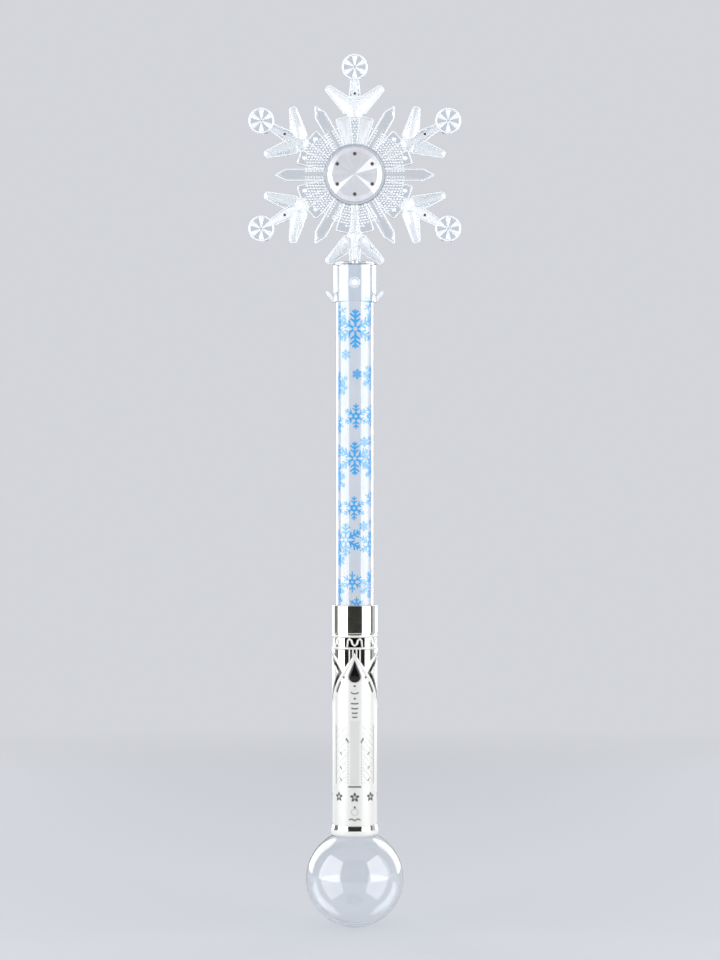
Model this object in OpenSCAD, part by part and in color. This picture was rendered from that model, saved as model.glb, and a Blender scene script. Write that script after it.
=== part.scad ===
// Light-up snowflake wand: clear snowflake head, lit tube, plated grip and clear ball.
// Millimetres. +Z runs along the wand to the head and the front faces -Y.
// The origin is the middle of the plain collar, on the wand's axis.

/* [Light tube] */
// Outside diameter of the clear tube
tube_d = 25.2; // [23:0.1:28]
// Wall of the clear tube
tube_wall = 1.2; // [0.8:0.1:1.6]
// Length of tube that shows between the collar and the neck
tube_show = 202; // [140:1:260]
// Thickness of the printed film rolled inside the tube
film_t = 0.3; // [0.2:0.05:0.5]

/* [Head] */
// Radius from the head's centre to the middle of each round arm tip
arm_r = 72; // [66:0.5:80]
// Diameter of the round arm tips
tip_d = 17.3; // [14:0.1:20]
// Radius of the points of the six crystal spikes
crystal_r = 53; // [46:0.5:58]
// Thickness of a head half at the edges of its blades
blade_edge = 2.4; // [2:0.1:3]
// Thickness of a head half along the ridges of its blades
blade_ridge = 4.2; // [3.4:0.1:5]
// Thickness of the beaded web in each half
web_t = 2; // [1.7:0.1:2.2]
// Radius of the corners of the six-sided web
web_r = 39.3; // [36:0.1:44]
// Diameter of the faceted jewel in the middle
jewel_d = 36.8; // [33:0.1:40]
// Rise of the jewel's facets from rim to point
jewel_rise = 3.2; // [2:0.1:5]

/* [Neck] */
// Wall of the neck round the tube
neck_wall = 1.95; // [1.5:0.05:3]
// Length of the neck below its roof
neck_len = 26.6; // [20:0.1:34]
// Distance from the neck's roof to the head's centre
neck_drop = 58.6; // [54:0.1:62]
// Diameter of the snap nubs that lock the neck to the tube
nub_d = 5.2; // [3:0.1:6]

/* [Collar] */
// Height of the plain collar
collar_h = 18.7; // [15:0.1:26]
// Wall of the collar round the tube
collar_wall = 2.65; // [2:0.05:3.5]
// Floor that the tube stands on
collar_floor = 2; // [1.5:0.1:3]
// Length of the spigot inside the grip
spigot_len = 10; // [8:0.5:12]

/* [Grip] */
// Outside diameter of the grip under its relief
grip_d = 29.8; // [29:0.1:34]
// Length of the grip between the collar and the pommel ring
grip_len = 129.4; // [122:0.1:160]
// Wall of the two grip shells
grip_wall = 2.4; // [2.2:0.1:2.8]
// Height of the raised ornament
relief_h = 0.45; // [0.2:0.05:0.8]
// Length of the crossed ornament under the collar
crest_len = 44; // [36:0.5:50]
// Radius of the points of the engraved stars
star_r = 3.4; // [2:0.1:4.5]

/* [Button] */
// Width of the teardrop button
button_w = 8.3; // [6.5:0.1:9.5]
// Height of the teardrop button
button_len = 14.4; // [12:0.1:16]
// How far the button moves in
button_travel = 1.2; // [0.6:0.1:1.4]
// Drop from the top of the grip to the middle of the button's round end
button_drop = 28.2; // [26:0.1:32]

/* [Battery bay] */
// Diameter of a button cell
cell_d = 11.6; // [9.5:0.1:11.6]
// Height of a button cell
cell_h = 5.4; // [3:0.1:5.6]
// Drop from the top of the grip to the bay
bay_drop = 57.1; // [56:0.1:62]
// Thickness of the battery door
door_t = 1.4; // [1.2:0.1:1.5]
// How far the insulating tab hangs out of the back
tab_out = 12; // [6:0.5:20]

/* [Pommel] */
// Outside diameter of the ring under the grip
ring_d = 31.7; // [30.4:0.1:36]
// Height of the ring's plated band
ring_h = 5.4; // [4:0.1:8]
// Diameter of the clear ball
ball_d = 65; // [54:0.5:76]
// Wall of the clear ball
ball_wall = 1.5; // [1.2:0.1:2.5]

/* [Hidden] */
$fn = 64;

// Clearances: pieces that stand still, pieces that slide, screws in their holes, and cuts
fit_gap = 0.1;
slide_gap = 0.2;
thread_gap = 0.05;
over = 1;

// Light tube and film
tube_r = tube_d / 2;
tube_ir = tube_r - tube_wall;
film_r = tube_ir - fit_gap;
film_ir = film_r - film_t;

// Collar
collar_r = tube_r + fit_gap + collar_wall;
collar_top = collar_h / 2;
floor_top = -collar_top + collar_floor;
grip_top = -collar_top;
lock_h = 2;
lock_depth = 0.8;
lock_drop = 4.2;
spigot_wall = 2;

// Grip shells
grip_r = grip_d / 2;
grip_ir = grip_r - grip_wall;
grip_foot = grip_top - grip_len;
relief_r = grip_r + relief_h;
spigot_r = grip_ir - fit_gap;
spigot_ir = spigot_r - spigot_wall;
cable_hole_r = spigot_ir - lock_depth;
engrave = 0.35;
band_h = 1.1;
band_drop_shares = [0.025, 0.205];
strip_w = 1.3;
star_rise = 20;
star_waist_share = 0.45;
star_angles = [-45, 0, 45];
star_points = 5;
rung_drops = [47.3, 51, 54, 56.7];
rung_widths = [4.3, 3.8, 3.2, 2.7];
rung_h = 1;
// Ends of the crossed strips: across as a share of the grip's radius, down as a share of the crest
crest_shares = [[[0, 0.364], [0.49, 0.56]], [[0.49, 0.56], [0.93, 0.98]], [[0.93, 0.3], [0.49, 0.56]]];

// Screws that close the grip
screw_r = 1.1;
screw_head_r = 1.95;
screw_head_h = 1.5;
screw_len = 11;
screw_boss_r = 2.4;
screw_seat = 5;
screw_rim = 1.6;
screw_x = grip_ir - screw_boss_r - screw_rim;
screw_top_drop = 43;
screw_foot_rise = 27.4;
screw_drops = [screw_top_drop, grip_len - screw_foot_rise];
slot_w = 0.7;
slot_depth = 0.6;
slot_reach_share = 0.65;

// Button and what it works
button_r = button_w / 2;
button_tip = button_len - button_r;
button_z = grip_top - button_drop;
button_proud = 0.5;
button_lip = 1.2;
button_rim = 1.1;
lip_t = 2.1;
lip_back = grip_ir - lip_t;
switch_w = 6;
switch_h = 3.3;
plunger_r = 1.7;
plunger_h = 0.6;
board_t = 1.2;
board_gap = 0.3;
board_w = 2 * (screw_x - screw_boss_r - board_gap);
board_len = 39.5;
board_drop = 11.2;
board_face = 3;
board_back = board_face - board_t;
board_top = grip_top - board_drop;
board_foot = board_top - board_len;
switch_face = board_face + switch_h;
stem_r = 1.75;
stem_end = switch_face + plunger_h + thread_gap + button_travel;
coil_wire_r = 0.2;
coil_r = 2.35;
coil_turns = 4;
chip_share = 0.345;
chip_r = chip_share * board_w;
chip_h = 1.4;
chip_drop = 29;
post_r = 1.6;
post_pin_r = 0.7;
post_root = 0.6;
post_edge = 1.8;
post_x = board_w / 2 - post_edge;
post_inset = 1.9;
post_zs = [board_top - post_inset, board_foot + post_inset];

// Battery bay, measured from its top end downwards
cell_count = 3;
cell_r = cell_d / 2;
cell_gap = 0.25;
contact_t = 0.4;
contact_w = 8;
tail_w = 2;
tail_out = 1.3;
cell_spring_h = 4.5;
cell_spring_turns = 3;
cell_spring_wire_r = 0.3;
cell_spring_r = 3.4;
cell_spring_top_r = 2.1;
tab_t = 0.2;
tab_w = 5;
tab_gap = 0.4;
tab_grip = 3;
bay_wall = 1.2;
bay_r = cell_r + cell_gap;
door_ir = grip_r - door_t;
door_ledge = 2.6;
door_half_w = bay_r + door_ledge;
bay_y = door_ir - cell_r - slide_gap - slide_gap;
bay_floor = bay_y - bay_r - bay_wall;
bay_top = grip_top - bay_drop;
cells_top = bay_top - contact_t - cell_spring_h;
cell_pitch = cell_h + thread_gap;
cells_foot = cells_top - cell_count * cell_pitch;
tab_z = cells_foot - tab_gap / 2;
contact_top = cells_foot - tab_gap;
bay_foot = contact_top - contact_t;
door_screw_rise = 5;
door_screw_z = bay_top + door_screw_rise;
door_rise = 4.5;
door_top = door_screw_z + door_rise;
door_drop = 3;
door_foot = bay_foot - door_drop;
door_head_r = 2.1;
door_head_h = 0.9;
door_screw_len = 7;
door_boss_r = 2.6;
door_boss_end = 6;
door_seat = grip_r - door_head_h;

// Ball, its neck and the ring between ball and grip
ring_r = ring_d / 2;
ball_r = ball_d / 2;
ball_ir = ball_r - ball_wall;
ring_foot = grip_foot - ring_h;
ring_lip = 1.6;
ball_seat = sqrt(pow(ball_r + fit_gap, 2) - pow(ring_r - ring_lip, 2));
ball_z = ring_foot - ball_seat;
ball_neck_r = grip_ir - 2 * fit_gap - lock_depth - fit_gap;
ball_neck_wall = 1.5;
ball_neck_ir = ball_neck_r - ball_neck_wall;
flange_h = 2;
flange_rise = 8.7;
flange_foot = grip_foot + flange_rise;
flange_top = flange_foot + flange_h;
flange_r = grip_ir - fit_gap;
ring_bore_r = ball_neck_r + fit_gap;
ring_spigot_h = 4.2;
rib_h = 1.8;

// Lamps and their holders
led_r = 2.5;
led_body_h = 5;
led_rim_r = 2.9;
led_rim_h = 1;
lead_w = 0.5;
lead_x = 1.27;
holder_t = 3;
holder_post_r = 4;
holder_post_h = 4;
holder_lip_h = 1.2;
lead_len = 11;
wire_notch_w = 3.2;
wire_notch_y = 6.8;

// Neck and head
neck_ir = tube_r + fit_gap;
neck_r = neck_ir + neck_wall;
neck_foot = collar_top + tube_show;
neck_top = neck_foot + neck_len;
roof_t = 2;
head_z = neck_top + neck_drop;
nub_r = nub_d / 2;
nub_rise = 12.3;
nub_z = neck_foot + nub_rise;
nub_root = 0.8;
nub_rim_w = 0.8;
nub_rim_h = 0.4;
tube_top = neck_top - roof_t - fit_gap;
channel_r = 1.2;
spine_w = 5;
spur_t = 1.2;
// Outline of a spur beside the neck, as shares of the neck's radius
spur_shares = [[0.93, 0.02], [1.04, 0.07], [1.33, 0.44], [1.29, 0.53], [1.2, 0.5], [0.93, 0.2]];
tip_r = tip_d / 2;
tip_floor = 2;
tip_rim_w = 1.5;
spoke_w = 1.5;
spoke_count = 3;
pin_r = 0.9;
pin_at_share = 0.75;
pin_sink = 1;
// Blade outlines as shares of the arm: across, along
club_shares = [[0.03, 0.47], [0.062, 0.5], [0.074, 0.55], [0.07, 0.6], [0.037, 0.905]];
branch_shares = [[0.05, 0.01], [0.084, 0.06], [0.037, 0.335], [0.022, 0.35]];
branch_at_share = 0.583;
branch_angle = 48;
wing_out = 4.1;
wing_below = 0.3;
shield_shares = [[0.03, 0.255], [0.062, 0.52], [0, 0.548]];
shield_angle = 12;
// Crystal outline as shares of the crystal's reach: across, along
crystal_shares = [[0.072, 0.34], [0.072, 0.87], [0.018, 1]];
arm_angles = [0, 60, 120, 240, 300];
neck_arm_angle = 180;
crystal_angles = [30, 90, 150, 210, 270, 330];

// Jewels, reflectors and the head's board
jewel_r = jewel_d / 2;
jewel_sides = 12;
jewel_flange = 1.6;
jewel_bevel = 0.9;
jewel_ledge = 2.4;
hub_rim = 2;
cavity_r = jewel_r + fit_gap - jewel_ledge;
head_board_t = 1.2;
head_board_r = cavity_r - fit_gap;
led_chip_h = 1.5;
led_chip_w = 2.8;
led_inset = 2.7;
led_ring_r = cavity_r - led_inset;
led_count = 6;
mirror_t = 0.6;
window_r = 1.7;
mirror_front = head_board_t / 2 + led_chip_h + slide_gap + mirror_t;
jewel_seat = mirror_front + thread_gap;
hub_t = jewel_seat + jewel_flange;

// Wires: each list holds steps from its own anchor, and the second wire of a pair mirrors the first
wire_r = 0.42;
wire_sides = 8;
wire_gap = 0.15;
head_wire_share = 0.1034;
tube_wire_share = 0.293;
ball_wire_share = 0.388;
board_wire_y = fit_gap - board_back;
board_mid_y = board_t / 2 - board_face;
tail_end_y = bay_floor - tail_out - wire_gap;
tube_lead_end = floor_top + holder_t + holder_post_h - lead_len;
ball_lead_end = flange_top - holder_t - holder_post_h + lead_len;
head_wire_board_steps = [[0, 0, -9.45], [0, 2.3, -9.25], [0, 5.1, -6.45]];
head_wire_collar_steps = [
    [1.1, -5, -10.65], [1, -3.4, -2.65], [0.9, -3, 3.35], [0.8, -2.7, 11.35], [0.8, -2, 19.35],
    [0.8, -1.6, 29.35]
];
head_wire_film_steps = [[0.8, -1.6, -25.95], [0.8, -3.4, -15.95]];
head_wire_roof_steps = [[0.7, 4, -8.95], [0.55, 1, -4.95], [0.5, 0, -1.45], [0.5, 0, 20.05]];
head_wire_end_steps = [[0.5, 0, -0.15]];
tube_wire_board_steps = [[0, 0, -13.45], [0, 2.2, -13.25], [-0.2, 3.5, -10.45], [-0.8, 3.3, -4.45]];
tube_wire_lead_steps = [[0.33, 0.6, -6.65], [0, 0, -2.65], [0, 0, -0.15]];
ball_wire_board_steps = [[0, 0, 5.05], [0, 1.1, 4.65], [0, 1.2, 2.05], [0, 0.1, -1.45]];
ball_wire_bay_steps = [[0, -3.65, -1.55]];
ball_wire_foot_steps = [[0, -4.25, 10.5], [-0.2, -4.05, -3.5]];
ball_wire_lead_steps = [[0, 0, 4.05], [0, 0, 0.15]];
cell_wire_top_steps = [[0, 0, -0.15], [0, -0.6, -0.15], [0, -1.2, 0.45], [0, -1.1, 2.05]];
cell_wire_top_ends = [[0, 0, -1.95], [0, 0, -0.15]];
cell_wire_foot_steps = [
    [0, 0, 0.1], [0, -0.6, 0.1], [-0.6, -1.3, 1.1], [-2.2, -1.6, 5.5], [-3, -1.4, 14.5]
];
cell_wire_foot_ends = [[-3, 0, -3.95], [-3, 0, -0.15]];
function moved(steps, anchor) = [for (p = steps) p + anchor];
head_wire_route = concat(
    moved(head_wire_board_steps, [head_wire_share * board_w, board_wire_y, board_top]),
    moved(head_wire_collar_steps, [0, film_ir, grip_top]),
    moved(head_wire_film_steps, [0, film_ir, neck_top]),
    moved(head_wire_roof_steps, [0, 0, neck_top]),
    moved(head_wire_end_steps, [0, 0, head_z - head_board_r])
);
tube_led_route = concat(
    moved(tube_wire_board_steps, [tube_wire_share * board_w, board_wire_y, board_top]),
    moved(tube_wire_lead_steps, [lead_x, 0, tube_lead_end])
);
ball_wire_x = ball_wire_share * board_w;
ball_wire_foot = moved(ball_wire_foot_steps, [ball_wire_x, bay_floor, bay_foot]);
ball_wire_lead = moved(ball_wire_lead_steps, [lead_x, 0, ball_lead_end]);
ball_led_route = concat(
    moved(ball_wire_board_steps, [ball_wire_x, board_wire_y, board_foot]),
    moved(ball_wire_bay_steps, [ball_wire_x, bay_floor, bay_top]),
    ball_wire_foot,
    [(ball_wire_foot[1] + ball_wire_lead[0]) / 2],
    ball_wire_lead
);
cell_wire_routes = [
    concat(moved(cell_wire_top_steps, [0, tail_end_y, bay_top]),
        moved(cell_wire_top_ends, [0, board_mid_y, board_foot])),
    concat(moved(cell_wire_foot_steps, [0, tail_end_y, bay_foot]),
        moved(cell_wire_foot_ends, [0, board_mid_y, board_foot]))
];

// Swept tubes

function unit(v) = v / norm(v);
function tangent_at(path, i) =
    unit(path[min(i + 1, len(path) - 1)] - path[max(i - 1, 0)]);
function side_at(t, hint) = unit(cross(t, hint));
function ring_at(path, i, r, sides, hint) =
    let (t = tangent_at(path, i), a = side_at(t, hint), b = cross(t, a))
    [for (k = [0:sides - 1]) path[i] + r * (cos(360 * k / sides) * a + sin(360 * k / sides) * b)];

// A closed round tube along a path, square at both ends
module tube_along(path, r, sides, hint) {
    last = len(path) - 1;
    points = [for (i = [0:last]) each ring_at(path, i, r, sides, hint)];
    walls = [
        for (i = [0:last - 1], k = [0:sides - 1])
            let (n = (k + 1) % sides, a = i * sides, b = a + sides)
            each [[a + k, a + n, b + n], [a + k, b + n, b + k]]
    ];
    start = [for (k = [1:sides - 2]) [0, k + 1, k]];
    end = [for (k = [1:sides - 2]) [last * sides, last * sides + k, last * sides + k + 1]];
    polyhedron(points, concat(walls, start, end));
}

// Points of a coil that climbs along Z from 0 to height, from radius r0 to r1
coil_steps = 8;
coil_sides = 6;
function coil(r0, r1, turns, height) = [
    for (i = [0:turns * coil_steps])
        let (s = i / (turns * coil_steps), r = r0 + (r1 - r0) * s, a = 360 * i / coil_steps)
        [r * cos(a), r * sin(a), height * s]
];
// Least gap between a coil's wire and itself one turn on
function coil_gap(path, r) =
    min([for (i = [0:len(path) - 1 - coil_steps]) norm(path[i + coil_steps] - path[i])]) - 2 * r;

button_coil = coil(coil_r, coil_r, coil_turns, lip_back - switch_face - 2 * (coil_wire_r + thread_gap));
cell_coil = coil(cell_spring_r, cell_spring_top_r, cell_spring_turns,
    cell_spring_h - 2 * (cell_spring_wire_r + thread_gap));
echo(button_spring_gap = coil_gap(button_coil, coil_wire_r));
echo(cell_spring_gap = coil_gap(cell_coil, cell_spring_wire_r));

// Shared shapes

module ring(r, ir, h) {
    difference() {
        cylinder(r = r, h = h);
        translate([0, 0, -over]) cylinder(r = ir, h = h + 2 * over);
    }
}

// A cylinder that runs from depth y0 towards the front
module peg(r, y0, h) {
    translate([0, y0, 0]) rotate([90, 0, 0]) cylinder(r = r, h = h);
}

// The half space in front of the parting plane, as a box
module front_box(r, z0, z1) {
    translate([-r, -r, z0]) cube([2 * r, r, z1 - z0]);
}

module mirrored_pair() {
    children();
    mirror([1, 0, 0]) children();
}

// Turns what faces the front to face the back
module to_back() {
    mirror([0, 1, 0]) children();
}

// Head halves, drawn flat with the arm along +Y and the face towards +Z

function both_sides(half) =
    concat(half, [for (i = [len(half) - 1:-1:0]) if (half[i][0] > 0) [-half[i][0], half[i][1]]]);
function scaled(shares, size) = [for (p = shares) size * p];
function reach(points) = max([for (p = points) p[1]]);
function half_width(points) = max([for (p = points) p[0]]);

// A flat outline under a gabled roof whose ridge runs along +Y
module blade(points) {
    w = half_width(points);
    eave = blade_edge - (blade_ridge - blade_edge) * over / w;
    intersection() {
        linear_extrude(blade_ridge) polygon(both_sides(points));
        translate([0, reach(points) + over, 0]) rotate([90, 0, 0]) linear_extrude(reach(points) + 2 * over)
            polygon([[-w - over, 0], [-w - over, eave], [0, blade_ridge], [w + over, eave], [w + over, 0]]);
    }
}

module shields() {
    for (angle = [-shield_angle, shield_angle]) rotate(angle) blade(scaled(shield_shares, arm_r));
}

// A pair of leaning blades of the given length
module branches(lean, length) {
    for (angle = [-lean, lean])
        translate([0, branch_at_share * arm_r, 0]) rotate(angle)
            blade([for (p = branch_shares) [arm_r * p[0], length * p[1] / reach(branch_shares)]]);
}

module arm_tip() {
    cylinder(r = tip_r, h = tip_floor);
    ring(tip_r, tip_r - tip_rim_w, blade_ridge);
    for (k = [0:spoke_count - 1])
        rotate(180 * k / spoke_count)
            translate([-tip_r + tip_rim_w / 2, -spoke_w / 2, 0])
                cube([2 * tip_r - tip_rim_w, spoke_w, blade_edge + tip_floor / 2]);
}

module arm() {
    shields();
    branches(branch_angle, arm_r * reach(branch_shares));
    blade(scaled(club_shares, arm_r));
    translate([0, arm_r, 0]) arm_tip();
}

// The arm over the neck, whose branches lean out to just past the neck's corners
module neck_arm() {
    shields();
    wing = [neck_r + wing_out, neck_drop + wing_below - branch_at_share * arm_r];
    branches(atan2(wing[0], wing[1]), norm(wing));
    translate([-spine_w / 2, cavity_r, 0])
        cube([spine_w, neck_drop + roof_t / 2 - cavity_r, blade_edge]);
    intersection() {
        blade(scaled(club_shares, arm_r));
        translate([-arm_r, 0, 0]) cube([2 * arm_r, neck_drop + roof_t / 2, blade_ridge + over]);
    }
}

module flake() {
    cylinder(r = jewel_r + fit_gap + hub_rim, h = hub_t);
    rotate(crystal_angles[0]) cylinder(r = web_r, h = web_t, $fn = len(crystal_angles));
    for (angle = arm_angles) rotate(angle) arm();
    rotate(neck_arm_angle) neck_arm();
    for (angle = crystal_angles) rotate(angle) blade(scaled(crystal_shares, crystal_r));
}

module spur() {
    translate([0, 0, neck_foot]) rotate([90, 0, 0]) linear_extrude(spur_t)
        polygon(scaled(spur_shares, neck_r));
}

module neck_shell() {
    intersection() {
        translate([0, 0, neck_foot]) cylinder(r = neck_r, h = neck_len);
        front_box(neck_r + over, neck_foot, neck_top);
    }
}

module arm_pins(r, y0, h) {
    for (angle = arm_angles)
        translate([0, 0, head_z]) rotate([0, angle, 0]) translate([0, 0, pin_at_share * arm_r]) peg(r, y0, h);
}

module head_half() {
    difference() {
        union() {
            translate([0, 0, head_z]) rotate([90, 0, 0]) flake();
            neck_shell();
            mirrored_pair() spur();
            translate([0, 0, nub_z]) difference() {
                peg(nub_r + nub_rim_w, -neck_ir - neck_wall / 2, neck_wall / 2 + nub_rim_h);
                peg(nub_r, -neck_ir, neck_wall + nub_rim_h + over);
            }
        }
        translate([0, 0, head_z]) peg(jewel_r + fit_gap, -jewel_seat, hub_t + over);
        translate([0, 0, head_z]) peg(cavity_r, over, jewel_seat + 2 * over);
        translate([0, 0, neck_foot - over]) cylinder(r = neck_ir, h = neck_len - roof_t + over);
        translate([0, 0, neck_top - roof_t - over])
            cylinder(r = channel_r, h = neck_drop + roof_t + over - cavity_r + over);
    }
    translate([0, 0, nub_z]) peg(nub_r, -tube_ir - thread_gap, tube_wall + fit_gap + nub_root);
}

module head_front() {
    color("aliceblue") difference() {
        head_half();
        arm_pins(pin_r + thread_gap, over, blade_ridge + 2 * over);
    }
}

module head_rear() {
    color("lightcyan") {
        to_back() head_half();
        arm_pins(pin_r, blade_edge / 2, blade_edge / 2 + blade_ridge - pin_sink);
    }
}

module jewel() {
    translate([0, 0, head_z]) {
        peg(jewel_r, -jewel_seat, jewel_flange);
        translate([0, -jewel_seat - jewel_flange, 0]) rotate([90, 0, 0])
            cylinder(r1 = jewel_r - jewel_bevel, r2 = 0, h = jewel_rise, $fn = jewel_sides);
    }
}

module front_jewel() {
    color("gainsboro") jewel();
}

module rear_jewel() {
    color("gainsboro") to_back() jewel();
}

// Places the children round the ring of lamps
module led_places() {
    for (k = [0:led_count - 1])
        translate([0, 0, head_z]) rotate([0, 360 * k / led_count, 0])
            translate([0, 0, led_ring_r]) children();
}

module reflector() {
    difference() {
        translate([0, 0, head_z]) peg(head_board_r, mirror_t - mirror_front, mirror_t);
        led_places() peg(window_r, over, mirror_front + 2 * over);
    }
}

module front_reflector() {
    color("silver") reflector();
}

module rear_reflector() {
    color("silver") to_back() reflector();
}

module head_board() {
    color("darkgreen") translate([0, 0, head_z]) peg(head_board_r, head_board_t / 2, head_board_t);
}

module led_chips() {
    led_places() translate([-led_chip_w / 2, -head_board_t / 2 - led_chip_h, -led_chip_w / 2])
        cube([led_chip_w, led_chip_h, led_chip_w]);
}

module head_leds() {
    color("khaki") {
        led_chips();
        to_back() led_chips();
    }
}

// Tube, film and the lamp at the tube's foot

module light_tube() {
    color("azure") difference() {
        translate([0, 0, floor_top]) ring(tube_r, tube_ir, tube_top - floor_top);
        translate([0, 0, nub_z]) peg(nub_r + fit_gap, tube_d, 2 * tube_d);
    }
}

module printed_film() {
    color("white") translate([0, 0, floor_top]) ring(film_r, film_ir, tube_top - floor_top);
}

// A lamp that stands on its rim at the origin and shines along +Z
module lamp() {
    cylinder(r = led_rim_r, h = led_rim_h);
    cylinder(r = led_r, h = led_body_h);
    translate([0, 0, led_body_h]) sphere(r = led_r);
    mirrored_pair() translate([lead_x - lead_w / 2, -lead_w / 2, -lead_len])
        cube([lead_w, lead_w, lead_len + led_rim_h]);
}

module tube_led_holder() {
    color("ivory") translate([0, 0, floor_top]) difference() {
        union() {
            cylinder(r = film_ir - fit_gap, h = holder_t);
            cylinder(r = holder_post_r, h = holder_t + holder_post_h);
        }
        translate([0, 0, -over]) cylinder(r = led_r, h = holder_t + holder_post_h + 2 * over);
        translate([-wire_notch_w / 2, wire_notch_y, -over]) cube([wire_notch_w, film_r, holder_t + 2 * over]);
    }
}

module tube_led() {
    color("mistyrose") translate([0, 0, floor_top + holder_t + holder_post_h]) lamp();
}

// Collar

module collar() {
    color("silver") difference() {
        union() {
            translate([0, 0, grip_top]) cylinder(r = collar_r, h = collar_h);
            translate([0, 0, grip_top - spigot_len])
                cylinder(r = spigot_r, h = spigot_len + collar_floor / 2);
        }
        translate([0, 0, floor_top]) cylinder(r = neck_ir, h = collar_h);
        translate([0, 0, grip_top - spigot_len - over]) cylinder(r = spigot_ir, h = spigot_len + over);
        translate([0, 0, grip_top - over]) cylinder(r = cable_hole_r, h = collar_floor + 2 * over);
        translate([0, 0, grip_top - lock_drop - lock_h]) ring(spigot_r + over, spigot_r - lock_depth, lock_h);
    }
}

// Grip

// The teardrop outline grown by a margin, tip upwards
module teardrop(margin) {
    r = button_r + margin;
    tip = button_tip * r / button_r;
    turn = asin(r / tip);
    circle(r = r);
    polygon([[0, tip], [r * cos(turn), r * sin(turn)], [-r * cos(turn), r * sin(turn)]]);
}

// The children's outline, seen from the front, pushed through the front of the grip
module through_front(depth) {
    rotate([90, 0, 0]) linear_extrude(depth) children();
}

module strip(from, to) {
    way = to - from;
    translate(from) rotate(atan2(way[1], way[0])) translate([0, -strip_w / 2]) square([norm(way), strip_w]);
}

module crest() {
    for (ends = crest_shares)
        mirrored_pair()
            strip([grip_r * ends[0][0], grip_top - crest_len * ends[0][1]],
                [grip_r * ends[1][0], grip_top - crest_len * ends[1][1]]);
}

module star() {
    polygon([
        for (k = [0:2 * star_points - 1])
            let (r = k % 2 == 0 ? star_r : star_r * star_waist_share)
            [r * sin(180 * k / star_points), r * cos(180 * k / star_points)]
    ]);
}

module relief() {
    intersection() {
        translate([0, 0, grip_foot]) ring(relief_r, grip_r - engrave, grip_len);
        union() {
            through_front(grip_d) crest();
            for (share = band_drop_shares)
                translate([0, 0, grip_top - share * crest_len - band_h])
                    front_slice(band_h);
        }
    }
}

module front_slice(h) {
    front_box(grip_d, 0, h);
}

module engraved_stars() {
    for (angle = star_angles)
        rotate(angle) translate([0, 0, grip_foot + star_rise]) difference() {
            through_front(grip_d) star();
            translate([0, 0, -star_r - over]) cylinder(r = grip_r - engrave, h = 2 * (star_r + over));
        }
}

// Places the children at the grip's four screws
module screw_places() {
    for (drop = screw_drops)
        mirrored_pair() translate([screw_x, 0, grip_top - drop]) children();
}

// Half a grip, in front of the parting plane, with its ribs
module grip_half() {
    difference() {
        intersection() {
            union() {
                translate([0, 0, grip_foot]) ring(grip_r, grip_ir, grip_len);
                translate([0, 0, grip_top - lock_drop - lock_h + fit_gap])
                    ring(grip_ir + grip_wall / 2, spigot_r - lock_depth + fit_gap, lock_h - 2 * fit_gap);
                translate([0, 0, flange_top + holder_lip_h + fit_gap])
                    ring(grip_ir + grip_wall / 2, ball_neck_ir + lock_depth, rib_h);
                translate([0, 0, flange_foot - fit_gap - rib_h])
                    ring(grip_ir + grip_wall / 2, ball_neck_r + fit_gap, rib_h);
            }
            front_box(grip_r + over, grip_foot, grip_top);
        }
        engraved_stars();
    }
    relief();
}

module board_posts() {
    for (z = post_zs)
        mirrored_pair() translate([post_x, 0, z]) {
            wall_y = sqrt(pow(grip_ir, 2) - pow(post_x, 2));
            peg(post_r, -board_face, wall_y - board_face + post_root);
            peg(post_pin_r, -board_back, board_face - board_back + post_root);
        }
}

module rungs() {
    for (k = [0:len(rung_drops) - 1])
        translate([-rung_widths[k] / 2, grip_top - rung_drops[k] - rung_h / 2])
            square([rung_widths[k], rung_h]);
}

module grip_front() {
    color("gainsboro") difference() {
        union() {
            grip_half();
            board_posts();
            intersection() {
                translate([0, 0, grip_foot]) ring(relief_r, grip_ir + grip_wall / 2, grip_len);
                through_front(grip_d) translate([0, button_z]) teardrop(button_rim);
            }
            screw_places() peg(screw_boss_r, 0, sqrt(pow(grip_ir, 2) - pow(screw_x, 2)));
        }
        screw_places() peg(screw_r + thread_gap, over, screw_len - screw_seat + over + slide_gap);
        through_front(grip_d) translate([0, button_z]) teardrop(slide_gap);
        difference() {
            through_front(grip_d) rungs();
            translate([0, 0, grip_foot]) cylinder(r = grip_r - engrave, h = grip_len);
        }
    }
}

// The door's outline pushed out through the back
module door_box(margin) {
    w = door_half_w + margin;
    translate([-w, 0, door_foot - margin]) cube([2 * w, grip_d, door_top - door_foot + 2 * margin]);
}

module grip_rear() {
    color("lightgrey") difference() {
        union() {
            to_back() grip_half();
            screw_places() to_back() peg(screw_boss_r, 0, sqrt(pow(grip_ir, 2) - pow(screw_x, 2)));
            intersection() {
                union() {
                    translate([-bay_r - bay_wall, bay_floor, bay_foot - bay_wall])
                        cube([2 * (bay_r + bay_wall), grip_r, bay_top - bay_foot + 2 * bay_wall]);
                    translate([0, 0, door_screw_z]) to_back() peg(door_boss_r, -door_boss_end, grip_r);
                }
                translate([0, 0, grip_foot]) cylinder(r = grip_ir + grip_wall / 4, h = grip_len);
            }
        }
        screw_places() to_back() peg(screw_r + fit_gap, over, grip_d);
        screw_places() to_back() peg(screw_head_r + slide_gap, -screw_seat, grip_d);
        translate([0, bay_y, bay_foot]) cylinder(r = bay_r, h = bay_top - bay_foot);
        translate([-bay_r, bay_y, bay_foot]) cube([2 * bay_r, grip_d, bay_top - bay_foot]);
        for (z = [bay_top - contact_t - fit_gap, bay_foot])
            translate([-tail_w / 2 - fit_gap, bay_floor - over, z])
                cube([tail_w + 2 * fit_gap, bay_r + bay_wall + over, contact_t + fit_gap]);
        translate([0, 0, door_screw_z]) to_back() peg(screw_r + thread_gap, -door_boss_end + over, grip_d);
        difference() {
            door_box(slide_gap);
            translate([0, 0, grip_foot]) cylinder(r = door_ir - fit_gap, h = grip_len);
        }
    }
}

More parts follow.
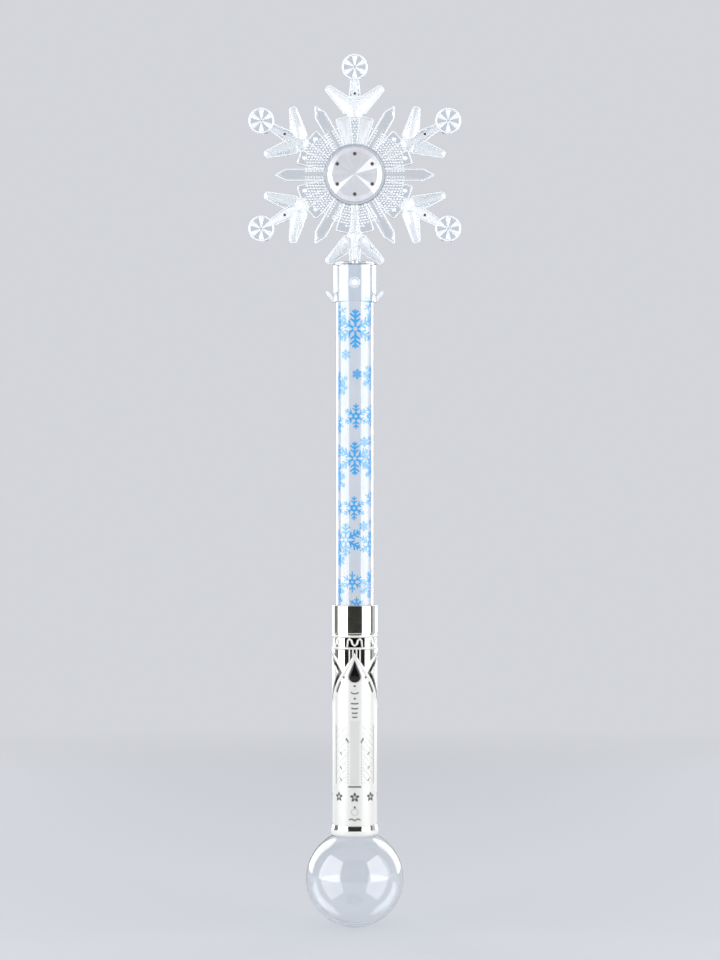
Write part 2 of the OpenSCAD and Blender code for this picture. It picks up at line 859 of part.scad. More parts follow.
// A screw along the depth whose head's underside is at depth y0, with a cross in its head
module screw(head_r, head_h, length, y0) {
    difference() {
        union() {
            peg(head_r, y0 + head_h, head_h);
            peg(screw_r, y0 + head_h / 2, length + head_h / 2);
        }
        for (turn = [0, 90])
            rotate([0, turn, 0])
                translate([-slot_reach_share * head_r, y0 + head_h - slot_depth, -slot_w / 2])
                    cube([2 * slot_reach_share * head_r, slot_depth + over, slot_w]);
    }
}

module grip_screws() {
    color("dimgray") screw_places() screw(screw_head_r, screw_head_h, screw_len, screw_seat);
}

// Button and what it works

module button() {
    color("black") {
        intersection() {
            through_front(grip_d) translate([0, button_z]) teardrop(0);
            difference() {
                translate([0, 0, grip_foot]) cylinder(r = grip_r + button_proud, h = grip_len);
                translate([-grip_d, -lip_back, grip_foot]) cube([2 * grip_d, 2 * grip_d, grip_len]);
            }
        }
        intersection() {
            through_front(grip_d) translate([0, button_z]) teardrop(button_lip);
            difference() {
                translate([0, 0, grip_foot]) cylinder(r = grip_ir - fit_gap, h = grip_len);
                translate([-grip_d, -lip_back, grip_foot]) cube([2 * grip_d, 2 * grip_d, grip_len]);
            }
        }
        translate([0, 0, button_z]) peg(stem_r, -stem_end, lip_back - stem_end + lip_t / 2);
    }
}

module button_spring() {
    color("silver") translate([0, -switch_face - coil_wire_r - thread_gap, button_z]) rotate([90, 0, 0])
        tube_along(button_coil, coil_wire_r, coil_sides, [0, 0, 1]);
}

module push_switch() {
    color("dimgray") translate([0, 0, button_z]) {
        translate([-switch_w / 2, -switch_face, -switch_w / 2]) cube([switch_w, switch_h, switch_w]);
        peg(plunger_r, -switch_face, plunger_h);
    }
}

module control_board() {
    color("darkgreen") difference() {
        translate([-board_w / 2, -board_face, board_foot]) cube([board_w, board_t, board_len]);
        for (z = post_zs)
            mirrored_pair() translate([post_x, 0, z]) peg(post_pin_r + fit_gap, over, board_face + 2 * over);
    }
}

module control_chip() {
    color("black") translate([0, 0, board_top - chip_drop]) peg(chip_r, -board_face, chip_h);
}

// Cells, contacts, door and tab

module cells() {
    color("silver") for (k = [0:cell_count - 1])
        translate([0, bay_y, cells_foot + k * cell_pitch]) cylinder(r = cell_r, h = cell_h);
}

module cell_spring() {
    color("silver") translate([0, bay_y, cells_top + cell_spring_h - cell_spring_wire_r - thread_gap])
        mirror([0, 0, 1]) tube_along(cell_coil, cell_spring_wire_r, coil_sides, [0, 0, 1]);
}

module contact() {
    translate([-contact_w / 2, bay_y - contact_w / 2, 0]) cube([contact_w, contact_w, contact_t]);
    translate([-tail_w / 2, bay_floor - tail_out, 0]) cube([tail_w, bay_y - bay_floor + tail_out, contact_t]);
}

module cell_contacts() {
    color("goldenrod") {
        translate([0, 0, bay_top - contact_t]) contact();
        translate([0, 0, bay_foot]) contact();
    }
}

module battery_door() {
    color("silver") difference() {
        intersection() {
            translate([0, 0, door_foot]) ring(grip_r, door_ir, door_top - door_foot);
            door_box(0);
        }
        translate([0, 0, door_screw_z]) to_back() peg(screw_r + slide_gap, over, grip_d);
        translate([0, 0, door_screw_z]) to_back() peg(door_head_r + slide_gap, -door_seat, grip_d);
        translate([-tab_w / 2 - slide_gap, 0, tab_z - tab_gap])
            cube([tab_w + 2 * slide_gap, grip_d, 2 * tab_gap]);
    }
}

module door_screw() {
    color("dimgray") translate([0, 0, door_screw_z])
        screw(door_head_r, door_head_h, door_screw_len, door_seat);
}

module pull_tab() {
    color("white") translate([0, 0, tab_z - tab_t / 2]) linear_extrude(tab_t) {
        translate([-tab_w / 2, bay_y - tab_grip]) square([tab_w, grip_r + tab_out - bay_y + tab_grip]);
        translate([0, grip_r + tab_out]) circle(r = tab_w / 2);
    }
}

// Pommel ring and ball

module pommel_ring() {
    color("silver") difference() {
        union() {
            translate([0, 0, ring_foot]) cylinder(r = ring_r, h = ring_h);
            translate([0, 0, grip_foot - over]) cylinder(r = spigot_r, h = ring_spigot_h + over);
        }
        translate([0, 0, ring_foot - over]) cylinder(r = ring_bore_r, h = ring_h + ring_spigot_h + 2 * over);
        translate([0, 0, ball_z]) sphere(r = ball_r + fit_gap);
    }
}

module ball_half() {
    intersection() {
        difference() {
            union() {
                translate([0, 0, ball_z]) sphere(r = ball_r);
                translate([0, 0, ball_z]) cylinder(r = ball_neck_r, h = flange_top - ball_z);
                translate([0, 0, flange_foot]) cylinder(r = flange_r, h = flange_h);
            }
            translate([0, 0, ball_z]) sphere(r = ball_ir);
            translate([0, 0, ball_z]) cylinder(r = ball_neck_ir, h = flange_top - ball_z + over);
        }
        front_box(ball_r + over, ball_z - ball_r - over, flange_top + over);
    }
}

module ball_front() {
    color("whitesmoke") ball_half();
}

module ball_rear() {
    color("white") to_back() ball_half();
}

module ball_led_holder() {
    color("ivory") difference() {
        union() {
            translate([0, 0, flange_top]) cylinder(r = ball_neck_r, h = holder_lip_h);
            translate([0, 0, flange_top - holder_t])
                cylinder(r = ball_neck_ir - fit_gap, h = holder_t + holder_lip_h / 2);
            translate([0, 0, flange_top - holder_t - holder_post_h])
                cylinder(r = holder_post_r, h = holder_post_h + holder_t);
        }
        translate([0, 0, flange_top - holder_t - holder_post_h - over])
            cylinder(r = led_r, h = holder_t + holder_post_h + holder_lip_h + 2 * over);
    }
}

module ball_led() {
    color("lightskyblue") translate([0, 0, flange_top - holder_t - holder_post_h]) mirror([0, 0, 1]) lamp();
}

// Wires

module wire_pair(route) {
    mirrored_pair() tube_along(route, wire_r, wire_sides, [1, 0, 0]);
}

module head_wires() {
    color("snow") wire_pair(head_wire_route);
}

module tube_led_wires() {
    color("orange") wire_pair(tube_led_route);
}

module ball_led_wires() {
    color("royalblue") wire_pair(ball_led_route);
}

module cell_wires() {
    color("black") for (route = cell_wire_routes) tube_along(route, wire_r, wire_sides, [1, 0, 0]);
}

head_front();
head_rear();
front_jewel();
rear_jewel();
front_reflector();
rear_reflector();
head_board();
head_leds();
light_tube();
printed_film();
tube_led_holder();
tube_led();
collar();
grip_front();
grip_rear();
grip_screws();
button();
button_spring();
push_switch();
control_board();
control_chip();
cells();
cell_spring();
cell_contacts();
battery_door();
door_screw();
pull_tab();
pommel_ring();
ball_front();
ball_rear();
ball_led_holder();
ball_led();
head_wires();
tube_led_wires();
ball_led_wires();
cell_wires();
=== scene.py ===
# Looks of the light-up snowflake wand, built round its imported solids.
# Sizes are written in millimetres in the wand's own frame: +Z to the head, front towards -Y.
import math

import bmesh
import bpy
import numpy as np
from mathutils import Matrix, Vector


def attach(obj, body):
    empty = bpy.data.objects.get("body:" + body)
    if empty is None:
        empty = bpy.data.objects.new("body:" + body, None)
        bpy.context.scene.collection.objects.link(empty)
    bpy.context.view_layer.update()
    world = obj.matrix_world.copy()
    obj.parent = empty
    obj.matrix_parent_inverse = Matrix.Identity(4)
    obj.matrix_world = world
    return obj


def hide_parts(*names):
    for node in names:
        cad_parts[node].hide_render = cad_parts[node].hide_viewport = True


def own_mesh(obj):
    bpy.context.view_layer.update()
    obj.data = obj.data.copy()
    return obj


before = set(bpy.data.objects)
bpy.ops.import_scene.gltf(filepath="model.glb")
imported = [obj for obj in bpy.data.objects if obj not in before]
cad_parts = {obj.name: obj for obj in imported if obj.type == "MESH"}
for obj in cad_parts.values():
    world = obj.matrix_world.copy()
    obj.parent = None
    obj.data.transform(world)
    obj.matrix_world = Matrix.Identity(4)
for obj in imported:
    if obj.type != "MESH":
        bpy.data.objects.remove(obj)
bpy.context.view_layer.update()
scene = bpy.context.scene

MM = 0.001
ROOT = "wand"

# Sizes shared with the solids. Four differ, to look like the photograph: the tube's bore and the film
# are 0.4 mm wider in radius, the ball's bore is 0.6 mm narrower in radius, and the button's tip is
# 1.15 mm longer.
TUBE_R, TUBE_IR, TUBE_TOP, FLOOR_TOP = 12.6, 11.8, 235.85, -7.35
FILM_R, FILM_IR = 11.7, 11.4
COLLAR_R, COLLAR_TOP = 15.35, 9.35
GRIP_R, GRIP_IR, GRIP_TOP, GRIP_LEN = 14.9, 12.5, -9.35, 129.4
GRIP_FOOT = GRIP_TOP - GRIP_LEN
RING_R, RING_IR, RING_FOOT = 15.85, 11.5, -144.15
BALL_R, BALL_IR, BALL_Z = 32.5, 30.4, -173.47
BALL_NECK_R, BALL_NECK_IR, BALL_NECK_TOP = 11.4, 9.9, -131.0
FLANGE_R, FLANGE_FOOT, FLANGE_TOP = 12.35, -130.05, -128.1
NECK_R, NECK_IR, NECK_FOOT, NECK_TOP = 14.65, 12.7, 211.35, 237.95
NECK_ROOF = NECK_TOP - 2
HEAD_Z, ARM_R = 296.55, 72.0
NECK_DROP = HEAD_Z - NECK_TOP
NUB_Z = 223.65
BUTTON_R, BUTTON_TIP, BUTTON_Z = 4.15, 11.4, -37.55
PARTING = 0.05
MERGE = 0.001


# Nodes and colours

def linear(colour):
    """Linear RGBA of an sRGB hex colour."""
    parts = [int(colour[i:i + 2], 16) / 255 for i in (1, 3, 5)]
    return [p / 12.92 if p <= 0.04045 else ((p + 0.055) / 1.055) ** 2.4 for p in parts] + [1.0]


def add(tree, kind, settings=None, inputs=None):
    """Adds a node with its settings, and links or sets its inputs."""
    node = tree.nodes.new("ShaderNode" + kind)
    for name, value in (settings or {}).items():
        setattr(node, name, value)
    for name, value in (inputs or {}).items():
        if isinstance(value, bpy.types.NodeSocket):
            tree.links.new(value, node.inputs[name])
        else:
            node.inputs[name].default_value = value
    return node


def new_material(name):
    """An empty material and its node tree."""
    material = bpy.data.materials.new(name)
    material.use_nodes = True
    tree = material.node_tree
    tree.nodes.clear()
    return material, tree


def per_mm(size):
    """Texture scale for a pattern whose cells are that many millimetres."""
    return 1 / (size * MM)


def let_light_in(tree, shader, tint):
    """Lets lamps and bounced light pass straight through a clear shader to what is behind it."""
    path = add(tree, "LightPath")
    passing = add(tree, "Math", {"operation": "MAXIMUM"},
                  {0: path.outputs["Is Shadow Ray"], 1: path.outputs["Is Diffuse Ray"]})
    straight = add(tree, "BsdfTransparent", inputs={"Color": linear(tint)})
    mix = add(tree, "MixShader", inputs={0: passing.outputs[0], 1: shader, 2: straight.outputs[0]})
    return mix.outputs[0]


def looked_at(tree):
    """1 where the camera, a mirror or a clear piece looks at the studio, 0 where it only gives light."""
    path = add(tree, "LightPath")
    direct = add(tree, "Math", {"operation": "MAXIMUM"},
                 {0: path.outputs["Is Camera Ray"], 1: path.outputs["Is Glossy Ray"]})
    every = add(tree, "Math", {"operation": "MAXIMUM"},
                {0: direct.outputs[0], 1: path.outputs["Is Transmission Ray"]})
    return every.outputs[0]


# Materials

def clear_polystyrene():
    """Crystal polystyrene from a polished mould: clear, glossy, with a faint flow ripple."""
    material, tree = new_material("clear_polystyrene")
    place = add(tree, "TexCoord").outputs["Object"]
    flow = add(tree, "TexNoise", inputs={"Vector": place, "Scale": per_mm(9), "Detail": 1.0}).outputs["Fac"]
    gloss = add(tree, "MapRange", inputs={"Value": flow, "To Min": 0.0, "To Max": 0.05})
    ripple = add(tree, "Bump", inputs={"Height": flow, "Strength": 0.12, "Distance": 0.25 * MM})
    body = add(tree, "BsdfPrincipled", inputs={
        "Base Color": linear("#FAFCFE"), "Roughness": gloss.outputs[0], "IOR": 1.59,
        "Transmission Weight": 1.0, "Normal": ripple.outputs[0]})
    add(tree, "OutputMaterial", inputs={"Surface": let_light_in(tree, body.outputs[0], "#FBFCFD")})
    return material


def frosted_polystyrene(name, haze, tint, grain_size):
    """The same plastic where the mould was spark-eroded: a white grain that scatters light.

    The real grain is under 0.1 mm, so it is drawn coarser to show.
    """
    material, tree = new_material(name)
    place = add(tree, "TexCoord").outputs["Object"]
    grain = add(tree, "TexNoise", inputs={
        "Vector": place, "Scale": per_mm(grain_size), "Detail": 2.0}).outputs["Fac"]
    rough = add(tree, "MapRange", inputs={"Value": grain, "To Min": 0.12, "To Max": 0.36})
    pits = add(tree, "Bump", inputs={"Height": grain, "Strength": 0.08, "Distance": 0.1 * MM})
    body = add(tree, "BsdfPrincipled", inputs={
        "Base Color": linear(tint), "Roughness": rough.outputs[0], "IOR": 1.5,
        "Transmission Weight": 1 - haze, "Normal": pits.outputs[0]})
    add(tree, "OutputMaterial", inputs={"Surface": let_light_in(tree, body.outputs[0], "#E8ECF0")})
    return material


def plated_abs():
    """Vacuum-plated ABS: mirror silver, satin where the mould was textured, with painted shade in its cut
    lines, grooves and hollows.
    """
    material, tree = new_material("plated_abs")
    place = add(tree, "TexCoord").outputs["Object"]
    satin = add(tree, "Attribute", {"attribute_name": "satin"}).outputs["Fac"]
    painted_shade = add(tree, "Attribute", {"attribute_name": "painted_shade"}).outputs["Fac"]
    peel = add(tree, "TexNoise", inputs={"Vector": place, "Scale": per_mm(3.5), "Detail": 2.0}).outputs["Fac"]
    grain = add(tree, "TexNoise", inputs={"Vector": place, "Scale": per_mm(1.5), "Detail": 2.0})
    smear = add(tree, "MapRange", inputs={"Value": peel, "To Min": 0.03, "To Max": 0.1})
    rough = add(tree, "Math", {"operation": "MULTIPLY_ADD"}, {0: satin, 1: 0.32, 2: smear.outputs[0]})
    metal = add(tree, "Math", {"operation": "MULTIPLY_ADD"}, {0: satin, 1: -0.8, 2: 1.0})
    # Painted shade: the colour goes near black where the attribute says, in cut lines, grooves and hollows
    colour = add(tree, "Mix", {"data_type": "RGBA"},
                 {"Factor": painted_shade, "A": linear("#EDEDE9"), "B": linear("#12130D")})
    speckle = add(tree, "Mix", {"data_type": "RGBA", "blend_type": "MULTIPLY"}, {
        "Factor": 0.06, "A": colour.outputs["Result"], "B": grain.outputs["Color"]})
    dimple = add(tree, "Bump", inputs={"Height": peel, "Strength": 0.04, "Distance": 0.15 * MM})
    body = add(tree, "BsdfPrincipled", inputs={
        "Base Color": speckle.outputs["Result"], "Metallic": metal.outputs[0],
        "Roughness": rough.outputs[0], "Normal": dimple.outputs[0]})
    add(tree, "OutputMaterial", inputs={"Surface": body.outputs[0]})
    return material


def printed_film():
    """Milky polyester film rolled in the tube: white, a little see-through, softly glossy."""
    material, tree = new_material("milky_polyester_film")
    place = add(tree, "TexCoord").outputs["Object"]
    cloud = add(tree, "TexNoise", inputs={"Vector": place, "Scale": per_mm(14), "Detail": 3.0}).outputs["Fac"]
    tone = add(tree, "Mix", {"data_type": "RGBA"}, {
        "Factor": cloud, "A": linear("#DFE3E9"), "B": linear("#EDF0F4")}).outputs["Result"]
    gloss = add(tree, "MapRange", inputs={"Value": cloud, "To Min": 0.12, "To Max": 0.22})
    face = add(tree, "BsdfPrincipled", inputs={
        "Base Color": tone, "Roughness": gloss.outputs[0], "IOR": 1.64})
    glow = add(tree, "BsdfTranslucent", inputs={"Color": tone})
    mix = add(tree, "MixShader", inputs={0: 0.3, 1: face.outputs[0], 2: glow.outputs[0]})
    add(tree, "OutputMaterial", inputs={"Surface": mix.outputs[0]})
    return material


def screen_ink():
    """Screen-printed blue ink: flat, a little uneven where the mesh laid it thin."""
    material, tree = new_material("screen_printed_ink")
    place = add(tree, "TexCoord").outputs["Object"]
    lay = add(tree, "TexNoise", inputs={"Vector": place, "Scale": per_mm(2.5), "Detail": 4.0})
    tone = add(tree, "Mix", {"data_type": "RGBA"}, {
        "Factor": lay.outputs["Fac"], "A": linear("#0890DC"), "B": linear("#35B6F0")})
    body = add(tree, "BsdfPrincipled", inputs={"Base Color": tone.outputs["Result"], "Roughness": 0.3})
    add(tree, "OutputMaterial", inputs={"Surface": body.outputs[0]})
    return material


def jewel_silver(name, pale, deep, metal):
    """Clear jewel with a silvered back: pale grey facets with a soft mirror sheen."""
    material, tree = new_material(name)
    place = add(tree, "TexCoord").outputs["Object"]
    cloud = add(tree, "TexNoise", inputs={"Vector": place, "Scale": per_mm(5), "Detail": 2.0}).outputs["Fac"]
    tone = add(tree, "Mix", {"data_type": "RGBA"}, {"Factor": cloud, "A": linear(deep), "B": linear(pale)})
    rough = add(tree, "MapRange", inputs={"Value": cloud, "To Min": 0.2, "To Max": 0.3})
    body = add(tree, "BsdfPrincipled", inputs={
        "Base Color": tone.outputs["Result"], "Metallic": metal, "Roughness": rough.outputs[0],
        "Coat Weight": 0.6, "Coat Roughness": 0.05})
    add(tree, "OutputMaterial", inputs={"Surface": body.outputs[0]})
    return material


def plain_finish(name, pale, deep, roughness, grain, metallic=0.0):
    """A moulded, drawn or pressed surface: two close tones and a grain of that many millimetres.

    The grain is drawn as coarse as it needs to show.
    """
    material, tree = new_material(name)
    place = add(tree, "TexCoord").outputs["Object"]
    cloud = add(tree, "TexNoise", inputs={
        "Vector": place, "Scale": per_mm(grain), "Detail": 3.0}).outputs["Fac"]
    tone = add(tree, "Mix", {"data_type": "RGBA"}, {"Factor": cloud, "A": linear(deep), "B": linear(pale)})
    rough = add(tree, "MapRange", inputs={
        "Value": cloud, "To Min": roughness * 0.8, "To Max": roughness * 1.2})
    pits = add(tree, "Bump", inputs={"Height": cloud, "Strength": 0.15, "Distance": 0.1 * MM})
    body = add(tree, "BsdfPrincipled", inputs={
        "Base Color": tone.outputs["Result"], "Metallic": metallic,
        "Roughness": rough.outputs[0], "Normal": pits.outputs[0]})
    add(tree, "OutputMaterial", inputs={"Surface": body.outputs[0]})
    return material


CLEAR = clear_polystyrene()
FROSTED = frosted_polystyrene("frosted_polystyrene", 0.95, "#F4F6F9", 0.8)
# Frosted panel of the top arm's shields, a painted highlight
PAINTED_HIGHLIGHT_PANEL = frosted_polystyrene("painted_highlight_panel_polystyrene", 0.95, "#DDDFE3", 0.8)
MISTED = frosted_polystyrene("misted_polystyrene", 0.28, "#FBFDFF", 2.0)
PLATED = plated_abs()
FILM = printed_film()
INK = screen_ink()
JEWEL = jewel_silver("silver_backed_jewel", "#E8E9EF", "#D4D5DC", 0.25)
# Brighter, less metallic facets: a painted highlight on a few of the jewel's wedges
JEWEL_PAINTED_HIGHLIGHT = jewel_silver("painted_highlight_jewel_facet", "#FCFCFE", "#F4F4F8", 0.1)
BLACK_ABS = plain_finish("polished_black_abs", "#121214", "#060607", 0.1, 4)
LAMP_DARK = plain_finish("smoked_lamp_lens", "#6B5A52", "#3E342F", 0.15, 1.5)
WHITE_ABS = plain_finish("moulded_white_abs", "#F1EFE8", "#E2DFD6", 0.45, 2)
SPRING_STEEL = plain_finish("drawn_spring_steel", "#C9C9C6", "#A9A9A5", 0.25, 0.8, 1.0)
ZINC_STEEL = plain_finish("zinc_plated_steel", "#A5A6A8", "#77787A", 0.3, 0.8, 1.0)
CELL_STEEL = plain_finish("pressed_cell_steel", "#D2D2CF", "#B6B6B2", 0.22, 1.5, 1.0)
BRASS = plain_finish("stamped_brass", "#D9B868", "#B08F45", 0.28, 1.2, 1.0)
BOARD = plain_finish("solder_masked_board", "#1E6B3B", "#12492A", 0.35, 1)
CHIP = plain_finish("potting_resin", "#1C1C1E", "#0C0C0D", 0.4, 1)
LAMP = plain_finish("lamp_epoxy", "#F4F0DC", "#E2DCC0", 0.12, 2)
FOIL = plain_finish("silver_foil", "#DEDEE2", "#C2C2C8", 0.12, 1, 1.0)
TAB_FILM = plain_finish("polyester_pull_tab", "#F4F4EF", "#E4E4DE", 0.3, 3)
WIRES = {
    "head_wires": plain_finish("white_wire_sheath", "#F3F3EE", "#E2E2DC", 0.4, 1),
    "tube_led_wires": plain_finish("orange_wire_sheath", "#DB7A1C", "#B25D10", 0.4, 1),
    "ball_led_wires": plain_finish("blue_wire_sheath", "#2A4FC0", "#1B3790", 0.4, 1),
    "cell_wires": plain_finish("black_wire_sheath", "#1D1D1D", "#0E0E0E", 0.4, 1),
}


# Meshes: a solid is (points, faces, material slots of the faces)

def placed(name, data):
    """Puts a mesh, lamp or camera in the scene."""
    obj = bpy.data.objects.new(name, data)
    scene.collection.objects.link(obj)
    return obj


def mesh_from(name, points, faces, materials, slots=None):
    """A mesh from millimetre points."""
    mesh = bpy.data.meshes.new(name)
    mesh.from_pydata((np.asarray(points, dtype=float) * MM).tolist(), [], faces)
    for material in materials:
        mesh.materials.append(material)
    if slots is not None:
        mesh.polygons.foreach_set("material_index", slots)
    mesh.update()
    return mesh


def outward(mesh, merge=0.0):
    """Merges points closer than that many millimetres and turns all faces outwards."""
    bm = bmesh.new()
    bm.from_mesh(mesh)
    if merge:
        bmesh.ops.remove_doubles(bm, verts=bm.verts, dist=merge * MM)
        bmesh.ops.dissolve_degenerate(bm, edges=bm.edges, dist=0.1 * merge * MM)
    bmesh.ops.recalc_face_normals(bm, faces=bm.faces)
    bm.to_mesh(mesh)
    bm.free()
    return mesh


def solid_mesh(name, solid, materials, merge=MERGE):
    """A clean mesh of a solid."""
    points, faces, slots = solid
    return outward(mesh_from(name, points, faces, materials, slots), merge)


def piece(name, mesh, body, nodes=(), sharp=35):
    """Puts a mesh in the scene as a piece that rides on a body and may stand for solids."""
    mesh.shade_smooth()
    mesh.set_sharp_from_angle(angle=math.radians(sharp))
    obj = placed(name, mesh)
    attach(obj, body)
    if nodes:
        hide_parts(*nodes)
    return obj


def join(solids):
    """Puts solids together as one."""
    points, faces, slots = [], [], []
    for more_points, more_faces, more_slots in solids:
        start = len(points)
        points.extend(more_points)
        faces.extend([tuple(i + start for i in face) for face in more_faces])
        slots.extend(more_slots)
    return points, faces, slots


def wrap(loop_a, loop_b):
    """Faces between two closed loops of point numbers."""
    n = len(loop_a)
    return [(loop_a[i], loop_a[(i + 1) % n], loop_b[(i + 1) % n], loop_b[i]) for i in range(n)]


def stacked(loops, slots, bottom=True, top=True):
    """A solid from equal closed loops of points, with a slot for each band of faces."""
    n = len(loops[0])
    points = [p for loop in loops for p in loop]
    rows = [list(range(k * n, k * n + n)) for k in range(len(loops))]
    faces, out = [], []
    for k in range(len(loops) - 1):
        band = wrap(rows[k], rows[k + 1])
        faces += band
        out += [slots[k]] * len(band)
    if bottom:
        faces.append(tuple(reversed(rows[0])))
        out.append(slots[0])
    if top:
        faces.append(tuple(rows[-1]))
        out.append(slots[-1])
    return points, faces, out


def turned(outer, inner, start=0.0, sweep=360.0, steps=96):
    """A wall of paired outer and inner (radius, height) points turned about Z, in degrees from +X."""
    whole = sweep >= 360
    angles = np.radians(start + sweep * np.arange(steps if whole else steps + 1) / steps)
    profile = list(outer) + list(reversed(inner))
    n, m = len(profile), len(outer)
    points = [(r * math.cos(a), r * math.sin(a), z) for a in angles for r, z in profile]
    faces = []
    for k in range(len(angles) if whole else len(angles) - 1):
        a, b = k * n, (k + 1) % len(angles) * n
        faces += [(a + i, b + i, b + (i + 1) % n, a + (i + 1) % n) for i in range(n)]
    if not whole:
        for a in (0, (len(angles) - 1) * n):
            faces += [(a + i, a + i + 1, a + n - 2 - i, a + n - 1 - i) for i in range(m - 1)]
    return points, faces, [0] * len(faces)


def arc(cx, cz, r, a0, a1, steps):
    """(radius, height) points on an arc, in degrees from the outward direction."""
    angles = [math.radians(a0 + (a1 - a0) * i / steps) for i in range(steps + 1)]
    return [(cx + r * math.cos(a), cz + r * math.sin(a)) for a in angles]


def circle(r, steps):
    """Points round a circle, anticlockwise."""
    angles = [2 * math.pi * k / steps for k in range(steps)]
    return [(r * math.cos(a), r * math.sin(a)) for a in angles]


def upright(outline, z0, z1):
    """A solid that rises from one height to another over an (x, y) outline."""
    return stacked([[(x, y, z) for x, y in outline] for z in (z0, z1)], [0])


def change(obj, solid, operation, materials):
    """Joins a solid to an object's mesh or cuts it out."""
    tool = placed("tool", solid_mesh("tool", solid, materials))
    modifier = obj.modifiers.new("change", "BOOLEAN")
    modifier.operation = operation
    modifier.solver = "MANIFOLD"
    modifier.object = tool
    ready = obj.evaluated_get(bpy.context.evaluated_depsgraph_get())
    made = bpy.data.meshes.new_from_object(ready)
    obj.modifiers.clear()
    spent = [obj.data, tool.data]
    obj.data = made
    bpy.data.objects.remove(tool)
    for mesh in spent:
        bpy.data.meshes.remove(mesh)


def fused(first, steps, materials):
    """One clean mesh from a solid and steps of (operation, solids) taken in turn."""
    obj = placed("fused", solid_mesh("fused", first, materials))
    for operation, solids in steps:
        for solid in solids:
            change(obj, solid, operation, materials)
    mesh = obj.data
    bpy.data.objects.remove(obj)
    return mesh


# Snowflake head, drawn flat as (across, up, depth) from the head's centre, face towards the front

CLEAR_SLOT, RIM_SLOT, ROOF_SLOT, HIGHLIGHT_PANEL_SLOT = range(4)
HEAD_MATERIALS = [CLEAR, FROSTED, MISTED, PAINTED_HIGHLIGHT_PANEL]
EDGE, RIDGE, WEB_T = 2.4, 4.2, 2.0
CORNER_R, BEVEL, RIM_RISE, PANEL_DROP, PANEL_SLOPE = 0.9, 0.25, 0.15, 0.45, 0.3
SHIELD = [(3.2, 18.3), (5.0, 38.0), (4.0, 39.3)]
SHIELD_LEANS = (-12, 12)
CRYSTAL = [(4.1, 18.0), (4.1, 46.1), (0.4, 53.0)]
CRYSTAL_RIDGE = RIDGE - 1.4
CLUB_FOOT = [(2.8, 36.9), (4.8, 38.4), (5.33, 41.0), (4.95, 44.2)]
CLUB = CLUB_FOOT + [(2.66, 65.2)]
NECK_CLUB = CLUB_FOOT + [(3.3, 59.2)]
SPINE = [(2.5, 14.0), (2.5, 59.4)]
SPOKE = [(0.3, 0.7), (1.7, 7.0), (1.2, 7.6)]
BRANCH_AT, BRANCH_LEAN, BRANCH_LEN = 41.98, 48.0, 25.2
ARMS = [0, 60, 120, 240, 300]
NECK_ARM = 180
# Arms whose clubs are frosted white as a painted highlight
PAINTED_HIGHLIGHT_CLUBS = (120, 240)
CRYSTALS = [30, 90, 150, 210, 270, 330]
WEB_R, WEB_STEPS, WEB_NOTCH, WEB_END = 39.0, 9, 2.2, 0.015
BEAD_R, BEAD_ROWS, BEAD_START, BEAD_STEP, BEAD_PITCH, BEAD_LIMIT = 0.78, 9, 21.6, 1.85, 1.95, 33.0
HUB_R, HUB_T, HUB_LIP_R = 20.5, 4.55, 18.9
JEWEL_BORE, CAVITY_R, JEWEL_SEAT = 18.5, 16.1, 2.95
TIP_R, TIP_RIM = 8.65, 4.2
KNOB_R, KNOB_AT = 1.6, 35.2
PIN_AT, PIN_HOLE_R = 54, 0.95
CUT_TO = 9
NUB = [(2.6, 11.45), (2.6, 14.6), (2.2, 14.95), (1.2, 15.15)]
NUB_RIM = [(3.5, 13.6), (3.5, 14.85), (3.2, 15.05), (2.9, 14.85), (2.85, 13.9)]
SPUR = [(13.6, 0.3), (15.2, 1.0), (19.5, 6.4), (18.9, 7.7), (17.6, 7.3), (13.6, 2.9)]
SPUR_T = 1.2
WIRE_HOLE_R = 1.2


def heading(angle):
    """A flat direction, turned from up towards the right."""
    return Vector((math.sin(angle), math.cos(angle)))


def moved(solid, degrees, along=0.0):
    """A flat solid moved up by a length, then turned about the head's centre."""
    c, s = math.cos(math.radians(degrees)), math.sin(math.radians(degrees))
    points = [(x * c - (y + along) * s, x * s + (y + along) * c, d) for x, y, d in solid[0]]
    return points, solid[1], solid[2]


def shifted(solid, across, up):
    """A flat solid moved without turning."""
    return [(x + across, y + up, d) for x, y, d in solid[0]], solid[1], solid[2]


def standing(solid, side):
    """Turns a flat solid to stand at the head's place, facing the front (1) or back (-1)."""
    return [(x, -side * d, y + HEAD_Z) for x, y, d in solid[0]], solid[1], solid[2]


def at(outline, depth):
    """A flat outline at a depth."""
    return [(x, y, depth) for x, y in outline]


def mirror_half(half):
    """A closed outline from its right half, listed from foot to tip."""
    return half + [(-x, y) for x, y in reversed(half) if x > 0]


def rounded(outline, radius, steps=3):
    """An outline with its corners rounded."""
    out = []
    for i, corner in enumerate(outline):
        p, a, b = Vector(corner), Vector(outline[i - 1]), Vector(outline[(i + 1) % len(outline)])
        to_a, to_b = a - p, b - p
        reach = min(radius, 0.42 * to_a.length, 0.42 * to_b.length)
        first, last = p + to_a.normalized() * reach, p + to_b.normalized() * reach
        for k in range(steps + 1):
            t = k / steps
            q = first.lerp(p, t).lerp(p.lerp(last, t), t)
            out.append((q.x, q.y))
    return out


def inset(outline, by):
    """A convex anticlockwise outline moved inwards."""
    n = len(outline)
    out = []
    for i in range(n):
        p, a, b = Vector(outline[i]), Vector(outline[i - 1]), Vector(outline[(i + 1) % n])
        u, v = (p - a).normalized(), (b - p).normalized()
        middle = Vector((-u.y, u.x)) + Vector((-v.y, v.x))
        q = p + middle * (by / max(0.3, 0.5 * middle.length_squared))
        out.append((q.x, q.y))
    return out


def crest(outline, ridge, share):
    """The ridge over an outline, hipped at its ends by a share of the half width."""
    foot, top = min(y for x, y in outline), max(y for x, y in outline)
    hip = share * max(x for x, y in outline)
    return [(0, min(max(y, foot + hip), top - hip), ridge) for x, y in outline]


